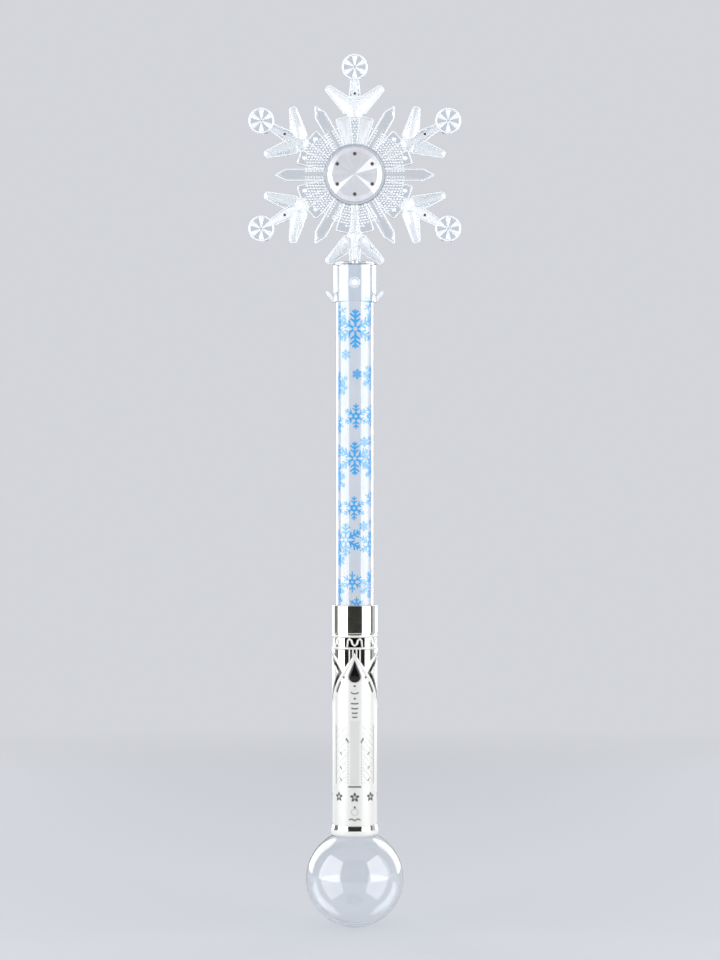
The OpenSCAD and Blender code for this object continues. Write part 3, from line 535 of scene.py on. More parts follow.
def blade(half, edge, ridge, rim, roof):
    """A clear leaf with a raised rim round a gabled roof of a given slot."""
    outline = rounded(mirror_half(half), CORNER_R)
    panel = inset(outline, rim + PANEL_SLOPE)
    loops = [at(outline, PARTING), at(outline, edge - BEVEL), at(inset(outline, BEVEL), edge + RIM_RISE),
             at(inset(outline, rim), edge + RIM_RISE), at(panel, edge - PANEL_DROP),
             crest(panel, ridge, 0.5)]
    return stacked(loops, [CLEAR_SLOT, RIM_SLOT, RIM_SLOT, RIM_SLOT, roof], top=False)


def gable(half, base, edge, ridge, slot):
    """A plain leaf with a gabled roof."""
    outline = rounded(mirror_half(half), 0.3, 2)
    loops = [at(outline, base), at(outline, edge), crest(outline, ridge, 0.4)]
    return stacked(loops, [slot, slot], top=False)


def round_solid(profile, steps, slots):
    """A solid turned about the depth axis from (radius, depth) points, back to face."""
    return stacked([at(circle(r, steps), d) for r, d in profile], slots)


def dome(r, depth, steps=8):
    """A small bead whose middle is at that depth."""
    rows = [(1.0, -0.2), (0.94, 0.34), (0.72, 0.69), (0.38, 0.92)]
    return round_solid([(r * a, depth + r * b) for a, b in rows], steps, [ROOF_SLOT, ROOF_SLOT, RIM_SLOT])


def branch(length, lean, roof):
    """A side branch at its place on an upright arm."""
    half = [(3.6, 0.7), (6.0, 4.3), (2.6, length - 1.1), (1.4, length)]
    return shifted(moved(blade(half, EDGE, RIDGE, 0.65, roof), lean), 0, BRANCH_AT)


def web_outline():
    """Six-sided web with castle-like steps along its edges."""
    points = []
    corners = [WEB_R * heading(math.radians(60 * k)) for k in range(6)]
    for k in range(6):
        a, b = corners[-k], corners[-k - 1]
        inward = -((a + b) / 2).normalized()
        for i in range(WEB_STEPS):
            sink = WEB_NOTCH * (i % 2)
            for t in (i / WEB_STEPS, (i + 1) / WEB_STEPS):
                p = a.lerp(b, WEB_END + (1 - 2 * WEB_END) * t) + inward * sink
                points.append((p.x, p.y))
    return points


def beads():
    """Grains over the web, in rings round the jewel."""
    out = []
    for row in range(BEAD_ROWS):
        r = BEAD_START + BEAD_STEP * row
        count = int(2 * math.pi * r / BEAD_PITCH)
        for k in range(count):
            a = 2 * math.pi * (k + 0.5 * (row % 2)) / count
            sector = (math.degrees(a) + 30) % 60 - 30
            if r * math.cos(math.radians(abs(sector) - 30)) < BEAD_LIMIT:
                out.append(shifted(dome(BEAD_R, WEB_T - 0.1), r * math.sin(a), r * math.cos(a)))
    return join(out)


def tip():
    """Round end of an arm: a floor with a raised rim."""
    rows = [(0, PARTING), (0, 3.6), (0.25, 4.05), (0.55, TIP_RIM), (0.85, 4.05), (1.15, 3.5), (1.3, 2.0)]
    slots = [CLEAR_SLOT] + [RIM_SLOT] * 4 + [CLEAR_SLOT] * 2
    return round_solid([(TIP_R - inward, d) for inward, d in rows], 44, slots)


def spokes():
    """Six wedges over an arm's round end."""
    return join([moved(gable(SPOKE, 1.0, 2.9, 3.6, RIM_SLOT), 60 * k) for k in range(6)])


def head_half():
    """The head's front half, drawn flat, as solids to join and solids to cut out."""
    arms_and_neck = ARMS + [NECK_ARM]
    wing = (NECK_R + 4.1, NECK_DROP + 0.3 - BRANCH_AT)
    leans = {a: (BRANCH_LEAN, BRANCH_LEN) for a in ARMS}
    leans[NECK_ARM] = (math.degrees(math.atan2(*wing)), math.hypot(*wing))
    hub_rows = [(HUB_R, PARTING), (HUB_R, HUB_T - 0.4), (HUB_R - 0.4, HUB_T), (HUB_LIP_R, HUB_T)]
    # The top arm's shields are full, and their panels are frosted as a painted highlight
    full = blade(SHIELD, EDGE + 0.3, RIDGE, 0.6, HIGHLIGHT_PANEL_SLOT)
    open_frame = blade(SHIELD, EDGE, WEB_T, 0.55, CLEAR_SLOT)
    crystal = blade(CRYSTAL, EDGE, CRYSTAL_RIDGE, 0.6, CLEAR_SLOT)
    # The clubs of the two lower side arms are frosted white as a painted highlight; the others are misted
    club_roofs = {a: RIM_SLOT if a in PAINTED_HIGHLIGHT_CLUBS else ROOF_SLOT for a in ARMS}
    knob = dome(KNOB_R, RIDGE - 0.9, 14)
    solids = [
        stacked([at(web_outline(), PARTING), at(web_outline(), WEB_T)], [CLEAR_SLOT]),
        round_solid(hub_rows, 72, [CLEAR_SLOT] * 3),
        join([moved(open_frame if a else full, a + lean) for a in arms_and_neck for lean in SHIELD_LEANS]),
        join([moved(crystal, a) for a in CRYSTALS]),
    ]
    # The top arm's branches get frosted roofs as a painted highlight; the other branches are misted
    for side in (-1, 1):
        solids.append(join([moved(branch(length, side * lean, ROOF_SLOT if a else RIM_SLOT), a)
                            for a, (lean, length) in leans.items()]))
    solids += [
        join([moved(blade(CLUB, EDGE + 0.1, RIDGE + 0.2, 0.7, club_roofs[a]), a) for a in ARMS]),
        moved(blade(SPINE, EDGE, EDGE + 0.3, 0.7, CLEAR_SLOT), NECK_ARM),
        moved(blade(NECK_CLUB, EDGE + 0.1, RIDGE, 0.9, ROOF_SLOT), NECK_ARM),
        join([moved(tip(), a, ARM_R) for a in ARMS]),
        join([moved(spokes(), a, ARM_R) for a in ARMS]),
        beads(),
        join([moved(knob, a + lean, KNOB_AT) for a in ARMS[1:] for lean in SHIELD_LEANS]),
    ]
    pin_hole = round_solid([(PIN_HOLE_R, -1), (PIN_HOLE_R, CUT_TO)], 16, [CLEAR_SLOT])
    cuts = [round_solid([(CAVITY_R, -1), (CAVITY_R, CUT_TO)], 72, [CLEAR_SLOT]),
            round_solid([(JEWEL_BORE, JEWEL_SEAT), (JEWEL_BORE, CUT_TO)], 72, [CLEAR_SLOT]),
            join([moved(pin_hole, a, PIN_AT) for a in ARMS])]
    return solids, cuts


def neck_half(side):
    """Half the neck's wall and roof, its nub's rim, the nub and the two spurs."""
    outer = [(NECK_R - 0.3, NECK_FOOT), (NECK_R, NECK_FOOT + 0.3), (NECK_R, NECK_TOP - 1.3),
             (NECK_R, NECK_TOP - 1.1), (NECK_R - 0.3, NECK_TOP - 0.35), (NECK_R - 1.0, NECK_TOP),
             (8, NECK_TOP), (1.3, NECK_TOP)]
    inner = [(NECK_IR + 0.3, NECK_FOOT), (NECK_IR, NECK_FOOT + 0.3), (NECK_IR, NECK_ROOF - 1.0),
             (NECK_IR, NECK_ROOF - 0.8), (NECK_IR - 0.1, NECK_ROOF - 0.2), (NECK_IR - 0.4, NECK_ROOF),
             (8, NECK_ROOF), (1.3, NECK_ROOF)]
    wall = turned(outer, inner, 180.25 if side > 0 else 0.25, 179.5, 64)
    low = NUB_Z - HEAD_Z
    rim = standing(shifted(round_solid(NUB_RIM, 28, [RIM_SLOT] * 3 + [CLEAR_SLOT]), 0, low), side)
    nub = standing(shifted(round_solid(NUB, 28, [CLEAR_SLOT, CLEAR_SLOT, RIM_SLOT]), 0, low), side)
    spurs = []
    for flip in (1, -1):
        outline = rounded([(flip * x, z + NECK_FOOT - HEAD_Z) for x, z in SPUR], 0.5, 2)
        spurs.append(standing(stacked([at(outline, PARTING), at(outline, SPUR_T)], [RIM_SLOT]), side))
    return wall, rim, nub, join(spurs)


HEAD_SOLIDS, HEAD_CUTS = head_half()
BORES = [upright(circle(NECK_IR, 96), NECK_FOOT - 5, NECK_ROOF),
         upright(circle(WIRE_HOLE_R, 16), NECK_TOP - 4, HEAD_Z - 10)]
for side, name in ((1, "head_front"), (-1, "head_rear")):
    flat = [standing(solid, side) for solid in HEAD_SOLIDS]
    cuts = [standing(solid, side) for solid in HEAD_CUTS]
    wall, rim, nub, spurs = neck_half(side)
    steps = [("UNION", flat[1:]), ("DIFFERENCE", cuts), ("UNION", [wall, rim]),
             ("DIFFERENCE", BORES), ("UNION", [nub, spurs])]
    piece(name + "_moulding", fused(flat[0], steps, HEAD_MATERIALS), ROOT, [name])


# Jewels, their lamp lenses and the pins that hold the arms' halves together

JEWEL_SIDES, JEWEL_TABLE_R, JEWEL_TABLE, JEWEL_PEAK = 24, 15.2, (6.1, 6.45), 7.5
# The jewel's facets that take the painted highlight
PAINTED_HIGHLIGHT_FACETS = (1, 2, 14, 21)
LENS = [(1.25, 4.6), (1.25, 6.35), (1.0, 6.65), (0.5, 6.8)]
LENS_AT = 13.4
PIN = [(0.6, -4.0), (0.88, -3.8), (0.88, 3.8), (0.6, 4.0)]


def jewel():
    """A low cut disc: girdle, slanted edge facets and wedges that meet at the middle."""
    girdle = [(18.1, JEWEL_SEAT), (18.4, JEWEL_SEAT + 0.3), (18.4, HUB_T - 0.4), (18.2, HUB_T)]
    loops = [at(circle(r, JEWEL_SIDES), d) for r, d in girdle]
    table = circle(JEWEL_TABLE_R, JEWEL_SIDES)
    loops.append([(x, y, JEWEL_TABLE[k % 2]) for k, (x, y) in enumerate(table)])
    points, faces, slots = stacked(loops, [0] * 4, top=False)
    peak = len(points)
    points.append((0, 0, JEWEL_PEAK))
    for k in range(JEWEL_SIDES):
        faces.append((peak - JEWEL_SIDES + k, peak - JEWEL_SIDES + (k + 1) % JEWEL_SIDES, peak))
        slots.append(1 if k in PAINTED_HIGHLIGHT_FACETS else 0)
    return points, faces, slots


for side, word in ((1, "front"), (-1, "rear")):
    cut = solid_mesh(word + "_jewel", standing(jewel(), side), [JEWEL, JEWEL_PAINTED_HIGHLIGHT])
    piece(word + "_faceted_jewel", cut, ROOT, [word + "_jewel"], 5)
    lens = round_solid(LENS, 16, [0] * 3)
    dots = join([standing(moved(lens, 60 * k, LENS_AT), side) for k in range(6)])
    lenses = solid_mesh(word + "_lenses", dots, [LAMP_DARK], 0)
    piece(word + "_jewel_lenses", lenses, ROOT, sharp=40)

pins = join([standing(moved(round_solid(PIN, 16, [0] * 3), a, PIN_AT), 1) for a in ARMS])
piece("arm_pins", solid_mesh("arm_pins", pins, [LAMP_DARK], 0), ROOT)


# Tube, film and prints

TUBE_BEVEL = 0.3
FILM_START, FILM_SWEEP = 92.0, 356.0
STROKE_CUT = 0.9
INK_UNDER, INK_OVER, INK_LAYER = 0.03, 0.04, 0.012
BRANCH_ANGLE = math.radians(52)
FLAKES = {
    "fern": ((0.34, 0.3), (0.58, 0.34), (0.8, 0.2)),
    "star": ((0.5, 0.36),),
    "plate": ((0.42, 0.34), (0.7, 0.26)),
}
RING_SHARE = 0.26

# Angle from the front, height, radius and kind of each print over a third of the film
PRINTS = [
    (2, 193, 13, "fern"), (-62, 203, 8, "star"), (66, 200, 6, "star"), (-58, 157, 8, "plate"),
    (8, 163, 3.5, "star"), (62, 160, 8, "fern"), (4, 135, 8.5, "plate"), (-64, 131, 6, "star"),
    (60, 133, 5, "star"), (0, 107, 11, "fern"), (60, 105, 8, "plate"), (-60, 112, 5, "star"),
    (-62, 92, 7, "fern"), (-2, 74, 8, "plate"), (62, 80, 6, "star"), (-30, 53, 11, "fern"),
    (56, 50, 9, "plate"), (-8, 25, 7, "star"), (-60, 21, 6, "plate"), (52, 22, 8, "fern"),
    (6, 10, 5, "star"), (-52, 39, 4, "star"), (-30, 176, 3.5, "star"), (32, 118, 3.5, "star"),
    (30, 62, 3.5, "star"),
]
REPEATS = ((0, 0), (128, 7), (-128, -6))


def turned_piece(name, outer, inner, material, slot, nodes, sweep=(0.0, 360.0), steps=128):
    """A piece of the wand turned about its axis."""
    mesh = solid_mesh(name, turned(outer, inner, *sweep, steps), [material])
    return piece(name, mesh, ROOT, nodes)


def tube_face(r, inward):
    """One face of the tube's wall, bevelled inwards at its ends."""
    return [(r - inward, FLOOR_TOP), (r, FLOOR_TOP + TUBE_BEVEL), (r, TUBE_TOP - TUBE_BEVEL),
            (r - inward, TUBE_TOP)]


def flake(kind, r):
    """Strokes of one printed snowflake: ends, widths at the ends and layer."""
    strokes = []
    thick = max(0.95, 0.125 * r)
    for k in range(6):
        a = math.radians(60 * k)
        up = heading(a)
        strokes.append((up * 0.1 * r, up * r, thick, thick * 0.8, 0))
        for reach, size in FLAKES[kind]:
            for lean, layer in ((-1, 2), (1, 1)):
                end = up * reach * r + heading(a + lean * BRANCH_ANGLE) * size * r
                strokes.append((up * reach * r, end, thick, thick * 0.7, layer))
        if kind != "fern":
            beside = heading(math.radians(60 * k + 60))
            strokes.append((up * RING_SHARE * r, beside * RING_SHARE * r, thick, thick, 3))
    return strokes


def printed(stroke, centre, height):
    """A stroke wrapped on the film as a thin layer of ink."""
    a, b, width_a, width_b, layer = stroke
    side = Vector((-(b - a).y, (b - a).x)).normalized()
    under, over = FILM_R - INK_UNDER, FILM_R + INK_OVER + INK_LAYER * layer
    cuts = max(1, math.ceil((b - a).length / STROKE_CUT))
    loops = []
    for k in range(cuts + 1):
        t = k / cuts
        half = 0.5 * (width_a + (width_b - width_a) * t)
        left, right = a.lerp(b, t) + side * half, a.lerp(b, t) - side * half
        ring = []
        for p, r in ((left, under), (right, under), (right, over), (left, over)):
            angle = centre + p.x / FILM_R
            ring.append((r * math.sin(angle), -r * math.cos(angle), min(height + p.y, TUBE_TOP - 0.5)))
        loops.append(ring)
    return stacked(loops, [0] * cuts)


turned_piece("blown_light_tube", tube_face(TUBE_R, TUBE_BEVEL), tube_face(TUBE_IR, -TUBE_BEVEL),
             CLEAR, "clear_polystyrene", ["light_tube"])
film_walls = [[(r, FLOOR_TOP), (r, TUBE_TOP)] for r in (FILM_R, FILM_IR)]
turned_piece("rolled_film", *film_walls, FILM, "printed_film", ["printed_film"], (FILM_START, FILM_SWEEP))

ink = []
for turn_by, lift in REPEATS:
    for angle, height, r, kind in PRINTS:
        if height + lift - r > COLLAR_TOP - 6:
            centre = math.radians(angle + turn_by)
            ink += [printed(stroke, centre, height + lift) for stroke in flake(kind, r)]
piece("snowflake_prints", solid_mesh("prints", join(ink), [INK], 0), ROOT)


# Collar, pommel ring and ball

RING_CONE, RING_ROUND = 1.3, 1.9


def round_edged(r, top, foot, round_by):
    """A straight turned wall with rounded edges, from top to foot."""
    straight = [(r, top - round_by - 0.15), (r, foot + round_by + 0.15)]
    return (arc(r - round_by, top - round_by, round_by, 90, 0, 4) + straight
            + arc(r - round_by, foot + round_by, round_by, 0, -90, 4))


def bored(wall, r):
    """A straight bore beside a turned wall."""
    return [(r, z) for _, z in wall]


def ball_wall(r, neck_r, flange_r):
    """The ball's round, its neck and its flange."""
    neck_angle = math.degrees(math.acos(neck_r / r))
    return arc(0, BALL_Z, r, -90, neck_angle, 40) + [
        (neck_r, BALL_NECK_TOP), (flange_r, FLANGE_FOOT), (flange_r, FLANGE_TOP)]


collar_wall = round_edged(COLLAR_R, COLLAR_TOP, -COLLAR_TOP, 0.45)
turned_piece("turned_collar", collar_wall, bored(collar_wall, NECK_IR), PLATED, "plated_abs", ["collar"])

# The ring starts with a short mirror-bright cone and is satin below it
cone_foot = GRIP_FOOT - RING_CONE
ring_wall = ([(14.5, GRIP_FOOT), (15.3, GRIP_FOOT - 0.1), (RING_R, cone_foot + 0.1),
              (RING_R, cone_foot - 0.1), (RING_R, RING_FOOT + RING_ROUND + 0.15)]
             + arc(RING_R - RING_ROUND, RING_FOOT + RING_ROUND, RING_ROUND, 0, -90, 8))
ring_bore = bored(ring_wall, RING_IR)
ring = turned_piece("turned_pommel_ring", ring_wall, ring_bore, PLATED, "plated_abs", ["pommel_ring"])
below_cone = [float(point.co.z < cone_foot * MM) for point in ring.data.vertices]
ring.data.attributes.new("satin", "FLOAT", "POINT").data.foreach_set("value", below_cone)
for start, word in ((180.0, "front"), (0.0, "rear")):
    turned_piece("ball_" + word + "_blown", ball_wall(BALL_R, BALL_NECK_R, FLANGE_R),
                 ball_wall(BALL_IR, BALL_NECK_IR, BALL_NECK_IR), CLEAR, "clear_polystyrene",
                 ["ball_" + word], (start, 180.0), 64)


# Plated grip with its relief, drawn over (u, w): arc from the middle line and drop from the grip's top

CELL, COARSE, FINE_TO = 0.33, 0.5, 62.0
HALF_TURN = GRIP_R * (math.pi / 2 - 0.003)
LEG = [(0, 15.2), (3.8, 20.2), (7.8, 25.9), (11.8, 31.5), (15.8, 38.4), (19.5, 46), (23.4, 50)]
CURVE = [(7.8, 25.9), (12.5, 19.5), (18.2, 14), (23.4, 10.5)]
SCROLL = [(5, 8.2), (4.6, 4.4), (3.4, 3.2), (2.2, 4.2), (1.6, 6.6), (0, 7.8)]
SCROLL_PITCH, STAR_PITCH, STAR_W, STAR_R = 15.6, 11.7, 108.3, 3.4
BANDS = (1.65, 9.55)
LINE_RISE = 0.42
GROUND_HALF, LEAF_GAP, LEAF_RISE = 6.8, 3.6, 0.2
STRIP_HALF, STRIP_TOP, STRIP_FOOT = 3, 57.8, 100
PLUME_IN, PLUME_OUT, PLUME_TOP, PLUME_FOOT, BARB_PITCH = 6.2, 13.6, 57, 99, 4.6
HOOP_W, HOOP_R = 118, 2.2
FOOT_LINE, FOOT_BAND, FLARE_TOP, FLARE_LEN, FLARE_RISE = 127.5, 127.6, 127.4, 2, 0.5

# Raised lines, each mirrored about the middle line: points and half width
LINES = [(LEG, 1.3), (CURVE, 1.25), ([(1.2, 10), (1.2, 17.2)], 0.5), ([(3.6, 10), (3.6, 20.0)], 0.5)]

# Sunk marks, mirrored too: points, half width and strength of their painted shade. The back leaves out the
# last two, which lie under the door screw.
MARKS = [
    ([(10.6, 32.4), (12.0, 35.0), (13.6, 38.4)], 0.85, 1.0),
    ([(0, 39.6), (1.4, 39.3), (2.3, 38.8)], 0.4, 1.0),
    ([(0, 46.2), (2.15, 46.0)], 0.42, 1.0),
    ([(0, 55.2), (1.35, 55.0)], 0.42, 1.0),
    ([(4.3, 71.6), (5.8, 69.4)], 0.45, 1.0),
    ([(9.3, 80.3), (10.7, 78.5)], 0.35, 1.0),
    ([(9.3, 89.8), (10.7, 88.0)], 0.35, 1.0),
    ([(9.3, 97.6), (10.7, 95.8)], 0.35, 1.0),
    ([(14.5, 61.2), (14.5, 99.5)], 0.4, 0.6),
    ([(0, 101.3), (3.95, 101.3)], 0.5, 1.0),
    ([(0, 123.6), (1.9, 122.5), (3.6, 123.0)], 0.4, 1.0),
    ([(0, 49.5), (1.9, 49.3)], 0.42, 1.0),
    ([(0, 52.5), (1.6, 52.3)], 0.42, 1.0),
]
UNDER_SCREW = 2
DOTS = [(7.6, 28.9, 0.8), (0, 34.3, 0.8), (0, 42.8, 0.7), (0, 114.8, 0.75)]
DASHED = [(4.5, 71.7), (4.5, 100)]

# The door, its screw, the cells' bay and the closing screws, seen from behind
DOOR_X, DOOR_TOP, DOOR_FOOT, DOOR_IR = 8.65, -56.95, -91.5, 13.5
DOOR_SCREW_Z, THREAD_R, HEAD_SEAT_R, HEAD_SEAT_FLOOR = -61.45, 1.25, 2.3, 14.0
DOOR_RISE = 0.2
# The last of these is the painted shade in the door's recess
RECESS_X_GAP, RECESS_Z_GAP, RECESS_R, RECESS_PAINTED_SHADE = 0.4, 0.35, 13.4, 0.2
BAY_X, BAY_TOP, BAY_FOOT = 6.05, -66.45, -88.5
TAB_X, TAB_TOP, TAB_FOOT = 2.9, -87.5, -88.3
SCREWS = [(8.5, -52.35), (8.5, -111.35)]
SCREW_HOLE_R = 2.15
WELL = ((2.2, 5.2), (3.0, 5.2), (3.0, 11.4), (2.2, 11.4), (2.2, 5.2))
CRADLE_X, CRADLE_SLOT_R, CRADLE_BACK, CRADLE_FRONT, SLOT_Y = 7.2, 6.1, 0.1, 11.2, 7.3


def near(u, w, points):
    """Distance to a line through points."""
    best = np.full(u.shape, 1e9)
    for (u0, w0), (u1, w1) in zip(points, points[1:]):
        du, dw = u1 - u0, w1 - w0
        t = np.clip(((u - u0) * du + (w - w0) * dw) / (du * du + dw * dw), 0, 1)
        best = np.minimum(best, np.hypot(u - u0 - t * du, w - w0 - t * dw))
    return best


def ridge(distance, half):
    """A rounded ridge of that half width, from 0 to 1."""
    return np.clip(1 - (distance / half) ** 2, 0, 1)


def inside(distance, blur=0.4):
    """1 within an outline and 0 outside it, blurred at the edge."""
    return np.clip(0.5 - distance / blur, 0, 1)


def most(*layers):
    """The strongest of several layers at each point."""
    return np.maximum.reduce(layers)


def folded(u, pitch):
    """Arc from the nearest repeat of a pattern."""
    return (u + pitch / 2) % pitch - pitch / 2


def drop_shape(u, w, margin=0.0):
    """Distance outside the teardrop button's outline."""
    x, up = np.abs(u), GRIP_TOP - w - BUTTON_Z
    s = BUTTON_R / BUTTON_TIP
    c = math.sqrt(1 - s * s)
    return np.where(up * c - x * s > 0, x * c + up * s, np.hypot(x, up)) - BUTTON_R - margin


def star_shape(u, w, r):
    """Distance outside a five-pointed star, about."""
    a = np.arctan2(u, -w)
    fold = np.abs((a / (2 * math.pi / 5) + 0.5) % 1 - 0.5) * 2
    return np.hypot(u, w) - r * (1 - 0.55 * fold)


def marked(u, w, front):
    """Strength of the sunk marks."""
    a = np.abs(u)
    strokes = MARKS if front else MARKS[:-UNDER_SCREW]
    layers = [tone * inside(near(a, w, points) - half) for points, half, tone in strokes]
    layers += [inside(np.hypot(a - u0, w - w0) - r) for u0, w0, r in DOTS]
    layers.append(0.7 * inside(near(a, w, DASHED) - 0.2) * ((w * 0.5) % 1 < 0.6))
    layers.append(0.35 * inside(np.abs(np.hypot(a, w - HOOP_W) - HOOP_R) - 0.3))
    layers.append(0.5 * inside(np.abs(w - FOOT_LINE) - 0.2))
    turn_u = folded(u, STAR_PITCH)
    eye = inside(np.hypot(turn_u, w - STAR_W) - 1.1)
    layers.append(inside(star_shape(turn_u, w - STAR_W, STAR_R)) * (1 - 0.6 * eye))
    return most(*layers)


def relief(u, w, front):
    """Height, painted shade and satin of the grip's surface."""
    a = np.abs(u)
    leg = np.interp(a, *zip(*LEG))
    curve = np.interp(a, *zip(*CURVE))
    ground = inside(a - GROUND_HALF) * inside(2.4 - w) * inside(w - 15.2 - 1.27 * a)
    flank = inside(GROUND_HALF - a) * inside(10.5 - w) * inside(w - np.minimum(leg, curve))
    outside = inside(CURVE[0][0] - a) * inside(curve - w) * inside(w - leg)
    leaf = outside * inside(LEAF_GAP - np.minimum(near(a, w, LEG), near(a, w, CURVE)), 0.8)
    groove = np.maximum(ground, outside - leaf)
    centre = inside(a - STRIP_HALF) * inside(STRIP_TOP - w) * inside(w - STRIP_FOOT)
    plume = inside(PLUME_IN - a, 1) * inside(a - PLUME_OUT, 1)
    plume = plume * inside(PLUME_TOP + 0.5 * a - w, 2) * inside(w - PLUME_FOOT, 2)
    barb = np.abs((w - 0.9 * a) / BARB_PITCH % 1 - 0.5) * BARB_PITCH
    foot_band = inside(FOOT_BAND - w)
    marks = marked(u, w, front)
    layers = [ridge(near(a, w, points), half) for points, half in LINES]
    layers.append(ridge(near(np.abs(folded(u, SCROLL_PITCH)), w, SCROLL), 0.7))
    layers += [ridge(w - band, 0.8) for band in BANDS]
    drop = drop_shape(u, w)
    layers.append(ridge(drop - 0.7, 1.0) if front else 0.8 * inside(drop, 2.5))
    lines = most(*layers)

    height = LEAF_RISE * leaf - 0.15 * groove + 0.1 * plume * np.clip(barb - 0.5, 0, 1) - 0.14 * marks
    flare = FLARE_RISE * np.clip((w - FLARE_TOP) / FLARE_LEN, 0, 1)
    height = height + lines * (LINE_RISE - height) + flare
    polish = 0.05 + 0.8 * inside(leg - w, 1.0) * (1 - outside)
    satin = most(polish, 0.7 * leaf, centre, 0.9 * np.clip(2 * lines, 0, 1)) * (1 - foot_band)
    # Painted shade in the ground, grooves, flanks, sunk marks, middle strip and barbs, kept off the raised
    # lines
    painted_shade = most(ground, 0.15 * flank, 0.9 * (outside - leaf), 0.9 * marks, 0.14 * centre,
                0.35 * plume * inside(barb - 0.2)) * (1 - np.clip(1.6 * lines, 0, 1))
    return height, painted_shade, satin


def snap(u, w, outline, reach):
    """Moves grid points near an outline onto it."""
    step = 0.01
    for _ in range(2):
        d = outline(u, w)
        gu = (outline(u + step, w) - d) / step
        gw = (outline(u, w + step) - d) / step
        size = np.maximum(gu * gu + gw * gw, 1e-6)
        close = np.abs(d) < reach
        u = np.where(close, u - d * gu / size, u)
        w = np.where(close, w - d * gw / size, w)
    return u, w


def grid(half_u, w0, w1):
    """Points over part of the grip, finer where the relief is."""
    across = np.linspace(-half_u, half_u, 2 * round(half_u / CELL) + 1)
    turn_w = min(max(w0, FINE_TO), w1)
    fine = np.linspace(w0, turn_w, round((turn_w - w0) / CELL) + 1)
    coarse = np.linspace(turn_w, w1, round((w1 - turn_w) / COARSE) + 1)
    return np.meshgrid(across, np.unique(np.concatenate([fine, coarse])))


def middle(values):
    """Values at the middles of a grid's cells."""
    return 0.25 * (values[:-1, :-1] + values[1:, :-1] + values[:-1, 1:] + values[1:, 1:])


def shell(u, w, r_out, r_in, keep, side, painted_shade, satin):
    """A curved wall over a grid of (u, w), kept where the cells say, with its two attributes."""
    rows, cols = u.shape
    angle = u / GRIP_R
    x, y, z = np.sin(angle), -side * np.cos(angle), GRIP_TOP - w
    skin = np.stack([x * r_out, y * r_out, z], -1).reshape(-1, 3)
    lining = np.stack([x * r_in, y * r_in, z], -1).reshape(-1, 3)
    total = rows * cols
    number = np.arange(total).reshape(rows, cols)
    a, b, c, d = number[:-1, :-1], number[:-1, 1:], number[1:, 1:], number[1:, :-1]
    kept = np.stack([a, b, c, d], -1)[keep]
    faces = [kept, kept[:, ::-1] + total]
    wide = np.pad(keep, 1)
    borders = ((b, a, wide[:-2, 1:-1]), (d, c, wide[2:, 1:-1]),
               (a, d, wide[1:-1, :-2]), (c, b, wide[1:-1, 2:]))
    for p, q, beyond in borders:
        edge = keep & ~beyond
        faces.append(np.stack([p[edge], q[edge], q[edge] + total, p[edge] + total], -1))
    faces = np.concatenate(faces)
    used, again = np.unique(faces, return_inverse=True)
    points = np.concatenate([skin, lining])[used]
    mesh = mesh_from("shell", points, again.reshape(faces.shape).tolist(), [PLATED])
    for name, values in (("painted_shade", painted_shade), ("satin", satin)):
        # The lining is given half strength of both attributes, so it carries half the painted shade
        both = np.concatenate([values.reshape(-1), np.full(total, 0.5)])[used]
        mesh.attributes.new(name, "FLOAT", "POINT").data.foreach_set("value", both.astype(np.float32))
    return outward(mesh)


def plated_wall(span, edges, holes, front, r_in, sunk=None, rise=1.0):
    """A plated wall with its relief.

    span is (half arc, top, foot), and sunk is (outline, radius, painted shade) of a part set deeper.
    """
    u, w = grid(*span)
    for outline in edges:
        u, w = snap(u, w, outline, 0.6 * CELL)
    height, painted_shade, satin = relief(u, w, front)
    r_out = GRIP_R + np.minimum(height, rise)
    if sunk:
        outline, floor_r, tone = sunk
        within = outline(u, w) < -0.05
        r_out = np.where(within, floor_r, r_out)
        # The sunk part takes its own painted shade, unless none is given
        painted_shade = painted_shade if tone is None else np.where(within, tone, painted_shade)
    keep = np.all([hole(middle(u), middle(w)) > 0 for hole in holes], axis=0)
    return shell(u, w, r_out, r_in, keep, 1 if front else -1, painted_shade, satin)


def seen_behind(u, w):
    """(x, z) of points on the grip, as seen from behind."""
    return GRIP_R * np.sin(u / GRIP_R), GRIP_TOP - w


def box_shape(u, w, half_x, top, foot):
    """Distance outside an upright box."""
    x, z = seen_behind(u, w)
    return np.maximum(np.abs(x) - half_x, np.maximum(z - top, foot - z))


def round_shape(u, w, centre_x, centre_z, r):
    """Distance outside a circle and its mirror image."""
    x, z = seen_behind(u, w)
    return np.hypot(np.abs(x) - centre_x, z - centre_z) - r


def button_hole(u, w):
    """The teardrop hole, a little tighter than the button's solid."""
    return drop_shape(u, w, -0.2)


def screw_hole(u, w):
    """The four holes for the closing screws."""
    return np.minimum(*[round_shape(u, w, x, z, SCREW_HOLE_R) for x, z in SCREWS])


def door_edge(u, w):
    """The door's recess."""
    return box_shape(u, w, DOOR_X + RECESS_X_GAP, DOOR_TOP + RECESS_Z_GAP, DOOR_FOOT - RECESS_Z_GAP)


def bay_edge(u, w):
    """The mouth of the cells' bay."""
    return box_shape(u, w, BAY_X, BAY_TOP, BAY_FOOT)


def thread_hole(u, w):
    """The door screw's hole."""
    return round_shape(u, w, 0, DOOR_SCREW_Z, THREAD_R)


def head_seat(u, w):
    """The seat of the door screw's head."""
    return round_shape(u, w, 0, DOOR_SCREW_Z, HEAD_SEAT_R)


def tab_slot(u, w):
    """The pull tab's slot in the door."""
    return box_shape(u, w, TAB_X, TAB_TOP, TAB_FOOT)


